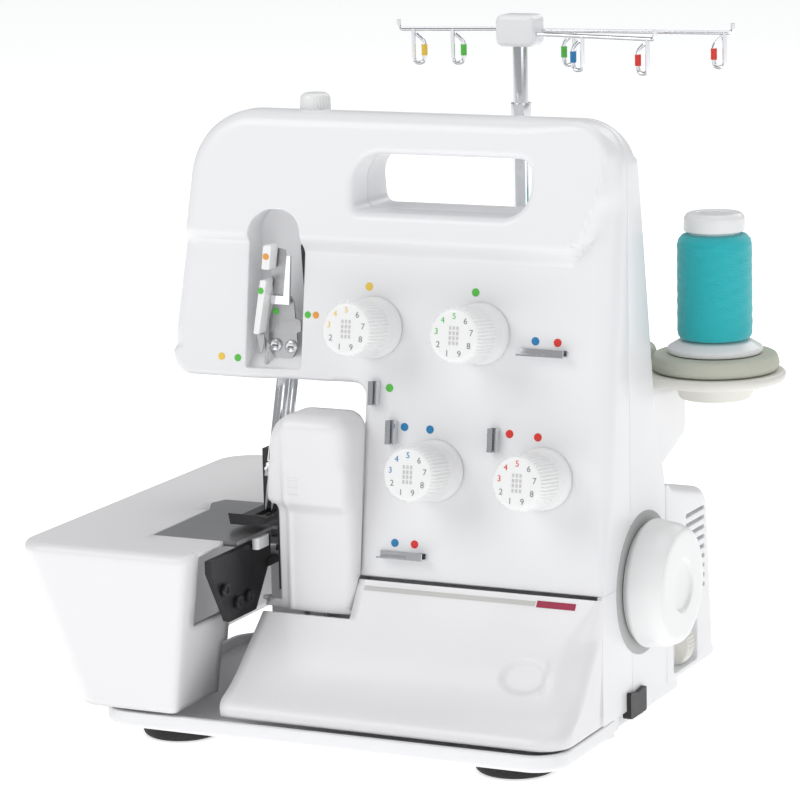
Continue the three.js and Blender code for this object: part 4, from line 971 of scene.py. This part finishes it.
# %% [markdown]
# ## Pole, head and guide wires
# A tube and a rod that slides in it carry the head. Each arm is one bent wire, drawn as a circle carried
# along its route. A thread is laid into an open loop from the side, so no loop closes.

# %% Pole and head
POLE = bevelled([
    [3.8, 141], [4.6, 141], [4.6, 275], [4.9, 275.4], [4.9, 285.2], [3.8, 285.2], [3.8, 141],
], 0.3)
pole_part = placed(turned(POLE, 64), (STAND_X, STAND_Y, 0))
piece("pole_tube", *pole_part, CHROME, slot="bright_steel", replaces=["pole_lower"])
rod_part = turned(bevelled([[0, 158], [3.6, 158], [3.6, 316], [0, 316]], 0.4), 64)
piece("pole_rod", *placed(rod_part, (STAND_X, STAND_Y, 0)), CHROME, body="pole_top", slot="bright_steel",
      replaces=["pole_upper"])
HEAD_LOW = 312.0
head_loop = outline(rectangle(STAND_X - 10, HEAD_LOW, STAND_X + 10, HEAD_LOW + 15, 3.5), 1.0)
head = facing_user(block(head_loop, level(-STAND_Y + 7), level(-STAND_Y - 7), 2.4, 2.4, spacing=5))
piece("guide_head_block", *head, SHELL_WHITE, body="guide_arms", slot="shell_white", replaces=["guide_head"])

ROUTES = [
    ((-7, -2, 320), 193, (25, 44), 51, {44: "yellow", 25: "green"}),
    ((7, 3, 319), 5, (19, 92), 96, {19: "green", 92: "red"}),
    ((7, -3, 318), -11, (29, 65), 69, {29: "blue", 65: "red"}),
]
WIRE_R = 1.05
SLEEVE_R = 1.45
LOOP_DROP = 16
LOOP_WIDE = 5.2
wires, sleeves = [], []
for (fx, fy, fz), heading, places, reach, colours in ROUTES:
    ahead = np.array([math.cos(math.radians(heading)), math.sin(math.radians(heading)), 0])
    across_arm = np.array([-ahead[1], ahead[0], 0])
    start = np.array([STAND_X + fx, STAND_Y + fy, fz])

    def spot(along, drop, origin=start, direction=ahead):
        return origin + direction * along - np.array([0, 0, drop])

    arm_path = softened([spot(-6, 0), spot(reach, 0), spot(reach, -4.5)], 2.5)
    wires.append(tube(arm_path, WIRE_R, 16, across_arm))
    for place in places:
        back = place - LOOP_WIDE
        loop_path = softened([
            spot(place, -0.4), spot(place, LOOP_DROP), spot(back, LOOP_DROP), spot(back, 5.5),
            spot(place - 1.4, 2.2),
        ], 2.6)
        wires.append(tube(loop_path, WIRE_R, 16, across_arm))
        sleeve = tube(straight(spot(back, 12.4), spot(back, 7.2), 4), SLEEVE_R, 20, across_arm)
        sleeves.append((colours[place], place, sleeve))
piece("guide_wires_bent", *joined(*wires), CHROME, body="guide_arms", slot="bright_steel",
      replaces=["guide_wires"])
for colour, place, sleeve in sleeves:
    piece(f"loop_sleeve_{colour}_{place}", *sleeve, DOT[colour], body="guide_arms", slot="bright_steel",
          sharp=60)

# %% [markdown]
# ## A cone of turquoise thread
# The winding crosses itself as it is laid, so its surface has fine helical ridges that run both ways:
# the radius is a smooth profile plus two cosines of height and angle.

# %% Core and winding
CONE_X = SPOOL_X[3]
CORE_FOOT = 171.2
THREAD_LOW = 177.2
CORE = bevelled([
    [3.2, 0], [22.2, 0], [22.4, 2.5], [17.2, 5.6], [12, 6.4], [12, 56.6], [14.4, 57.2], [14.2, 63.6],
    [12.6, 65.6], [8, 65.6], [8, 62], [3.2, 62], [3.2, 0],
], 0.9)
core = placed(turned(CORE, 96), (CONE_X, STAND_Y, CORE_FOOT))
piece("cone_core", *core, DIAL_WHITE, body="cone", slot="shell_white", replaces=["spool_core"])
WINDING_ROWS, WINDING_SIDES, WINDING_HIGH = 181, 160, 50
THREAD_PROFILE = np.array([
    [0, 12.4], [0.8, 16.2], [2.2, 17.2], [4.5, 17.5], [44.8, 17.4], [47.2, 16.9], [49.2, 15.2],
    [WINDING_HIGH, 12.4],
])
angle = (np.arange(WINDING_SIDES) * 2 * math.pi / WINDING_SIDES)[None]
along = np.linspace(0, 1, WINDING_ROWS)[:, None] * WINDING_HIGH
radius = np.interp(along, THREAD_PROFILE[:, 0], THREAD_PROFILE[:, 1]) + 0 * angle
wound = ease(np.minimum(along, WINDING_HIGH - along), 1, 4)
radius = radius + wound * (0.09 * np.cos(2 * math.pi * along / 0.95 + angle) + 0.07 * np.cos(
    2 * math.pi * along / 6.5 - 5 * angle) + 0.05 * np.cos(2 * math.pi * along / 5.1 + 6 * angle))
winding = np.stack([radius * np.cos(angle), radius * np.sin(angle), along + 0 * angle], -1).reshape(-1, 3)
foot_ring = list(range(WINDING_SIDES))
top_ring = [(WINDING_ROWS - 1) * WINDING_SIDES + i for i in foot_ring]
winding_faces = turned_over(sheet_faces(WINDING_ROWS, WINDING_SIDES, close_columns=True))
winding_faces += [foot_ring[::-1], top_ring]
THREAD = finish("wound_thread", (0.004, 0.46, 0.50), 0.62, grain=(0.5, 0.5), wear=(3, 0.05),
                stretch=(1, 1, 4))
THREAD.node_tree.nodes["Principled BSDF"].inputs["Sheen Weight"].default_value = 0.35
piece("thread_winding", *placed((winding, winding_faces), (CONE_X, STAND_Y, THREAD_LOW)), THREAD, body="cone",
      slot="turquoise_thread", replaces=["thread"], sharp=60)

# %% [markdown]
# ## Needle area
# The needle bar and the presser bar lean back inside the head. Below it hang the clamp and two needles.
# Each is turned about the bar's own leaning axis, so one helper sets them all on it.

# %% Bars, clamp and needles
BAR_AT = (-67.0, 11.6, 158.0)
BAR_UP = (0, 0.2961, 0.9551)


def on_bar(part, behind=0.0, beside=0.0):
    """A part drawn along z, put on the needle bar's leaning axis."""
    points, faces = part
    return placed((points + [beside, behind, 0], faces), BAR_AT, (1, 0, 0), BAR_UP)


bar_part = turned(bevelled([[0, -38], [3.2, -38], [3.2, 52], [0, 52]], 0.6), 48)
piece("needle_bar_rod", *on_bar(bar_part), CHROME, body="needle_drive", slot="bright_steel",
      replaces=["needle_bar"])
presser_part = turned(bevelled([[0, -31], [3.0, -31], [3.0, 40], [0, 40]], 0.6), 48)
piece("presser_bar_rod", *on_bar(presser_part, behind=9.6), CHROME, body="presser", slot="bright_steel",
      replaces=["presser_bar"])
clamp = slab([-2.6, -3.6, -45], [2.6, 3.8, -38.4], 0.7)
NEEDLE = [[0, -61], [0.18, -60.4], [0.5, -57], [0.7, -50], [0.7, -44.6], [0, -44.6]]
needle_parts = [on_bar(clamp)]
for side_x in (-1.6, 1.6):
    needle_parts.append(on_bar(turned(bevelled(NEEDLE, 0.1), 20), beside=side_x))
    screw = turned(bevelled([[1.0, 0], [1.0, 1.4], [0, 1.4]], 0.2), 24)
    needle_parts.append(on_bar(placed(screw, (side_x * 0.8, -3.6, -41.7), (1, 0, 0), (0, -1, 0))))
piece("needle_clamp_and_needles", *joined(*needle_parts), BRIGHT_STEEL, body="needle_drive",
      slot="ground_steel", replaces=["needle_clamp"])

# %% [markdown]
# ## The hardware in the needle recess
# Small stampings guide the needle threads past the take-up lever: a pretension plate with two screws, a
# guard in front of the lever's slot, two white strips and two thin leaves. Each one is a flat outline
# between two depths, so they all share one function.

# %% Recess hardware


def plate(corners, back_y, front_y, roll=0.25, step=1.0):
    """A flat piece seen from the front: (x, z) corners between two values of y."""
    return facing_user(block(outline(corners, step), level(-front_y), level(-back_y), roll, roll, spacing=40))


PRETENSION = [
    [-66, 178, 2], [-62.5, 173.4, 2], [-57.5, 172.4, 1], [-52.6, 173.8, 2], [-50.2, 179, 2],
    [-50.4, 185.5, 0.8], [-48.2, 186, 0.8], [-48.2, 191.5, 0.8], [-51, 192.3, 1], [-51.4, 199.5, 2],
    [-53.4, 203, 2], [-57, 202.8, 2], [-62.6, 197.8, 2], [-64.8, 191, 2],
]
TAKE_UP_GUARD = [
    [-61.3, 198.4, 1], [-56.2, 203.6, 1], [-54.4, 211, 1.5], [-54.4, 224.6, 1.2], [-60.6, 225.6, 1],
    [-62.3, 214, 0.5],
]
pretension = plate(PRETENSION, -3.4, -4.6)
take_up_guard = plate(TAKE_UP_GUARD, -4.9, -5.75)
piece("pretension_plate", *joined(pretension, take_up_guard), BRUSHED, slot="ground_steel",
      replaces=["thread_bracket"])
screw_profile = bevelled([[3.1, 0], [3.1, 0.9], [2.2, 1.5], [1.2, 1.0], [0, 0.9]], 0.2)
for number, (x, z) in enumerate([(-61.4, 179.2), (-53.2, 178.8)]):
    head_part = placed(turned(screw_profile, 40), (x, -4.6, z), (1, 0, 0), (0, -1, 0))
    # The blackened bar across each head is painted shade: it stands in for the shadow in the screw's slot,
    # which is not cut.
    slot_shade_part = plate(rectangle(x - 2, z - 0.3, x + 2, z + 0.3), -5.4, -5.75, 0.05)
    piece(f"pretension_screw_{number + 1}", *head_part, BRIGHT_STEEL, slot="ground_steel")
    piece(f"pretension_screw_slot_shade_{number + 1}", *slot_shade_part, BLACK_STEEL, slot="dark_steel")
UPPER_STRIP = [[-63.2, 216.2, 0.6], [-59.2, 216, 0.6], [-57.6, 227.6, 0.8], [-62, 227.4, 0.8]]
LOWER_STRIP = [[-68.6, 185.4, 0.6], [-65.5, 185.5, 0.6], [-60.8, 211.1, 0.8], [-64.2, 211, 0.8]]
upper_strip = plate(UPPER_STRIP, -6.6, -13.8)
lower_strip = plate(LOWER_STRIP, -6.6, -13.6)
piece("guide_strips", *joined(upper_strip, lower_strip), DIAL_WHITE, slot="shell_white")
leaf = plate([[-67.2, 174.2, 0.6], [-65.6, 179], [-64.9, 184.9], [-69.2, 184.8]], -8.5, -9.3)
tail = plate([[-66.2, 170.4, 0.5], [-64.9, 170.2, 0.5], [-63.2, 179.8], [-65.6, 183]], -7.0, -7.6)
piece("guide_leaves", *joined(leaf, tail), BRUSHED, slot="ground_steel")
# The near-black sheet on the recess floor is painted shade: it stands in for the shadow inside the take-up
# lever's slot.
TAKE_UP_SLOT = [[-52.3, 203.4, 0.2], [-51.2, 203.4, 0.2], [-49.9, 225.8, 1.6], [-53.5, 225.8, 1.6]]
piece("take_up_slot_shade", *plate(TAKE_UP_SLOT, 8.6, 7.7, 0.1), SHADOW_GAP, slot="shell_white")


def smaller_dot(share):
    """The threading dot with its radius times a share."""
    points, faces = dot_disc
    return points * [share, share, 1], faces


GUIDE_DOTS = [(-60.6, 222.2, -13.9, "orange"), (-63.9, 206.0, -13.7, "green"), (-61.0, 195.2, -4.7, "green")]
RECESS_DOTS = [(-44.2, 194.4, "green"), (-40.0, 194.4, "orange")]
SHELF_DOTS = [(-78.0, 172.8, "green"), (-86.6, 173.0, "yellow")]
SHELF_PROUD = 4.04
for i, (x, z, y, colour) in enumerate(GUIDE_DOTS):
    guide_dot = placed(smaller_dot(0.8), (x, y, z), (1, 0, 0), (0, -1, 0))
    piece(f"guide_dot_{i + 1}_{colour}", *guide_dot, DOT[colour], slot="shell_white")
for i, (x, z, colour) in enumerate(RECESS_DOTS):
    recess_dot = on_panel_axes(smaller_dot(0.85), x, z, 0.02)
    piece(f"recess_dot_{i + 1}_{colour}", *recess_dot, DOT[colour], slot="shell_white")
for i, (x, z, colour) in enumerate(SHELF_DOTS):
    shelf_dot = on_panel_axes(smaller_dot(0.9), x, z, SHELF_PROUD)
    piece(f"shelf_dot_{i + 1}_{colour}", *shelf_dot, DOT[colour], slot="shell_white")
print("recess pieces ready")

# %% [markdown]
# ## Screws on the knife bracket
# The blackened bracket is held by three socket screws. Each is a turned head with its socket sunk in it,
# set on the bracket's right face.

# %% Bracket screws
BRACKET_FACE = plan_box("knife_bracket")[1][0]
SOCKET = bevelled([[3.0, -0.2], [3.0, 1.2], [1.6, 1.3], [1.4, 0.4], [0, 0.3]], 0.25)
for number, (y, z) in enumerate([(-61.0, 74.5), (-49.0, 66.0), (-38.0, 66.5)]):
    socket_screw = placed(turned(SOCKET, 40), (BRACKET_FACE, y, z), (0, 1, 0), (1, 0, 0))
    piece(f"bracket_screw_{number + 1}", *socket_screw, BLACK_STEEL, slot="dark_steel")
print("bracket face at x =", round(float(BRACKET_FACE), 2), "mm on the plan")

# %% [markdown]
# ## Small controls
# The pressure knob and the stitch length wheel are turned with grip ribs. A grey and a crimson band are
# printed on the looper cover: each is a grid on the cover's own line, moved out a little.

# %% Knob, length wheel and printed stripe
knob_profile = bevelled([[7.3, 276], [7.4, 284], [7.1, 293.2], [5.6, 295.2], [0, 295.4]], 1.2)
knob_part = placed(turned(knob_profile, 120, ribs=30, rib_depth=0.25, rib_rows=(1, 9)), (-49, 18, 0))
piece("presser_pressure_knob", *knob_part, DIAL_WHITE, body="pressure", slot="dial_white",
      replaces=["pressure_knob"])
LENGTH_PROFILE = bevelled([[0, -4], [11.6, -4], [12.5, -2.8], [12.5, 2.8], [11.6, 4], [0, 4]], 0.5)
length_wheel = turned(LENGTH_PROFILE, 160, ribs=40, rib_depth=0.5, rib_rows=(6, 16))
length_wheel = placed(length_wheel, (98.5, 84.5, 29.2), (1, 0, 0), (0, -1, 0))
piece("stitch_length_wheel", *length_wheel, CREAM, body="length_dial", slot="cream_plastic",
      replaces=["stitch_length_dial"])


def stripe(x0, x1, z0, z1, lift=0.12, columns=40):
    """A printed band that follows the door's face: a grid of points on cover_line, moved out a little."""
    x = np.linspace(x0, x1, columns)
    z = np.linspace(z0, z1, 5)
    z_grid, x_grid = np.meshgrid(z, x, indexing="ij")
    y_grid = cover_line(z_grid) - lift
    points = np.stack([x_grid, y_grid, z_grid + lift * 0.8], -1).reshape(-1, 3)
    return points, turned_over(sheet_faces(5, columns))


piece("grey_stripe", *stripe(-7.5, 78.5, 71.3, 73.2), PRINT_GREY, body="cover_door", slot="shell_white")
piece("crimson_stripe", *stripe(79.2, 98.2, 70.9, 73.6), PRINT_CRIMSON, body="cover_door", slot="shell_white")

# %% [markdown]
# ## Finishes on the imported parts
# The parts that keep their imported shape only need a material. Ground, blackened and cast metal differ
# mostly in how rough they are.

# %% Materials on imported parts
PACKED_FINISH = {
    BRUSHED: ["stitch_plate", "main_shaft", "shaft_bearing", "feed_dog", "cover_hinge_bar", "motor"],
    CHROME: ["take_up_lever", "upper_looper", "lower_looper"] + [f"panel_guide_{i}" for i in range(1, 6)],
    BLACK_STEEL: ["knife_bracket", "upper_knife", "presser_foot"],
    BLACK_PLASTIC: ["power_switch", "power_inlet", "presser_lifter", "shaft_pulley", "motor_pulley"],
    RUBBER: ["drive_belt"],
    ALLOY: ["inner_frame"],
    SHELL_WHITE: ["bed_cover"],
    DIAL_WHITE: ["stitch_finger_knob"],
}
for material, names in PACKED_FINISH.items():
    for name in names:
        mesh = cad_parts[name].data
        mesh.materials.clear()
        mesh.materials.append(material)
finished = sum(PACKED_FINISH.values(), [])
left_over = [name for name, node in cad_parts.items() if not node.hide_render and name not in finished]
print("packed parts with no finish of their own:", left_over)

# %% [markdown]
# ## The room
# A pale floor reaches so far that the camera, which looks down a little, never sees past its edge. There
# is no wall, so the machine can be looked at from behind too. Large soft lights keep the shading gentle,
# and one from the left front gives the white shell its form.

# %% Floor, world and lights
FLOOR_R = 9.0
FLOOR_SIDES = 96
rings = np.linspace(0.2, 1, 9)[:, None] * FLOOR_R
turns = (np.arange(FLOOR_SIDES) * 2 * math.pi / FLOOR_SIDES)[None]
floor_points = np.stack([rings * np.cos(turns), rings * np.sin(turns), 0 * rings * turns], -1).reshape(-1, 3)
floor_faces = sheet_faces(len(rings), FLOOR_SIDES, close_columns=True) + [list(range(FLOOR_SIDES))]
PAPER = finish("studio_paper", (0.90, 0.90, 0.90), 0.85, grain=(30, 0.02))
PAPER.node_tree.nodes["Principled BSDF"].inputs["Emission Color"].default_value = (1, 1, 1, 1)
PAPER.node_tree.nodes["Principled BSDF"].inputs["Emission Strength"].default_value = 0.6
floor_mesh = bpy.data.meshes.new("studio_floor")
floor_mesh.from_pydata(floor_points.tolist(), [], floor_faces)
floor_mesh.materials.append(PAPER)
floor = bpy.data.objects.new("studio_floor", floor_mesh)
bpy.context.scene.collection.objects.link(floor)

world = bpy.data.worlds.new("studio_world")
bpy.context.scene.world = world
world.use_nodes = True
world.node_tree.nodes["Background"].inputs["Color"].default_value = (0.97, 0.985, 1.0, 1)
world.node_tree.nodes["Background"].inputs["Strength"].default_value = 0.38


def soft_light(name, place, aim, width, height, power, colour=(1, 1, 1)):
    """A rectangular area light at a place, turned towards a point."""
    data = bpy.data.lights.new(name, "AREA")
    data.shape = "RECTANGLE"
    data.size, data.size_y, data.energy, data.color = width, height, power, colour
    lamp = bpy.data.objects.new(name, data)
    bpy.context.scene.collection.objects.link(lamp)
    lamp.location = place
    lamp.rotation_euler = (Vector(aim) - Vector(place)).to_track_quat("-Z", "Y").to_euler()
    return lamp


MIDDLE = (0, 0, 0.15)
soft_light("key_light", (-1.1, -1.5, 1.5), MIDDLE, 1.3, 1.3, 16)
soft_light("fill_light", (1.7, -1.1, 0.9), MIDDLE, 1.4, 1.2, 6.5)
soft_light("top_light", (0.1, 0.3, 2.2), MIDDLE, 1.8, 1.4, 13)
soft_light("back_light", (0.5, 2.0, 1.5), MIDDLE, 1.4, 1.2, 9)
bpy.context.scene.view_settings.view_transform = "Standard"
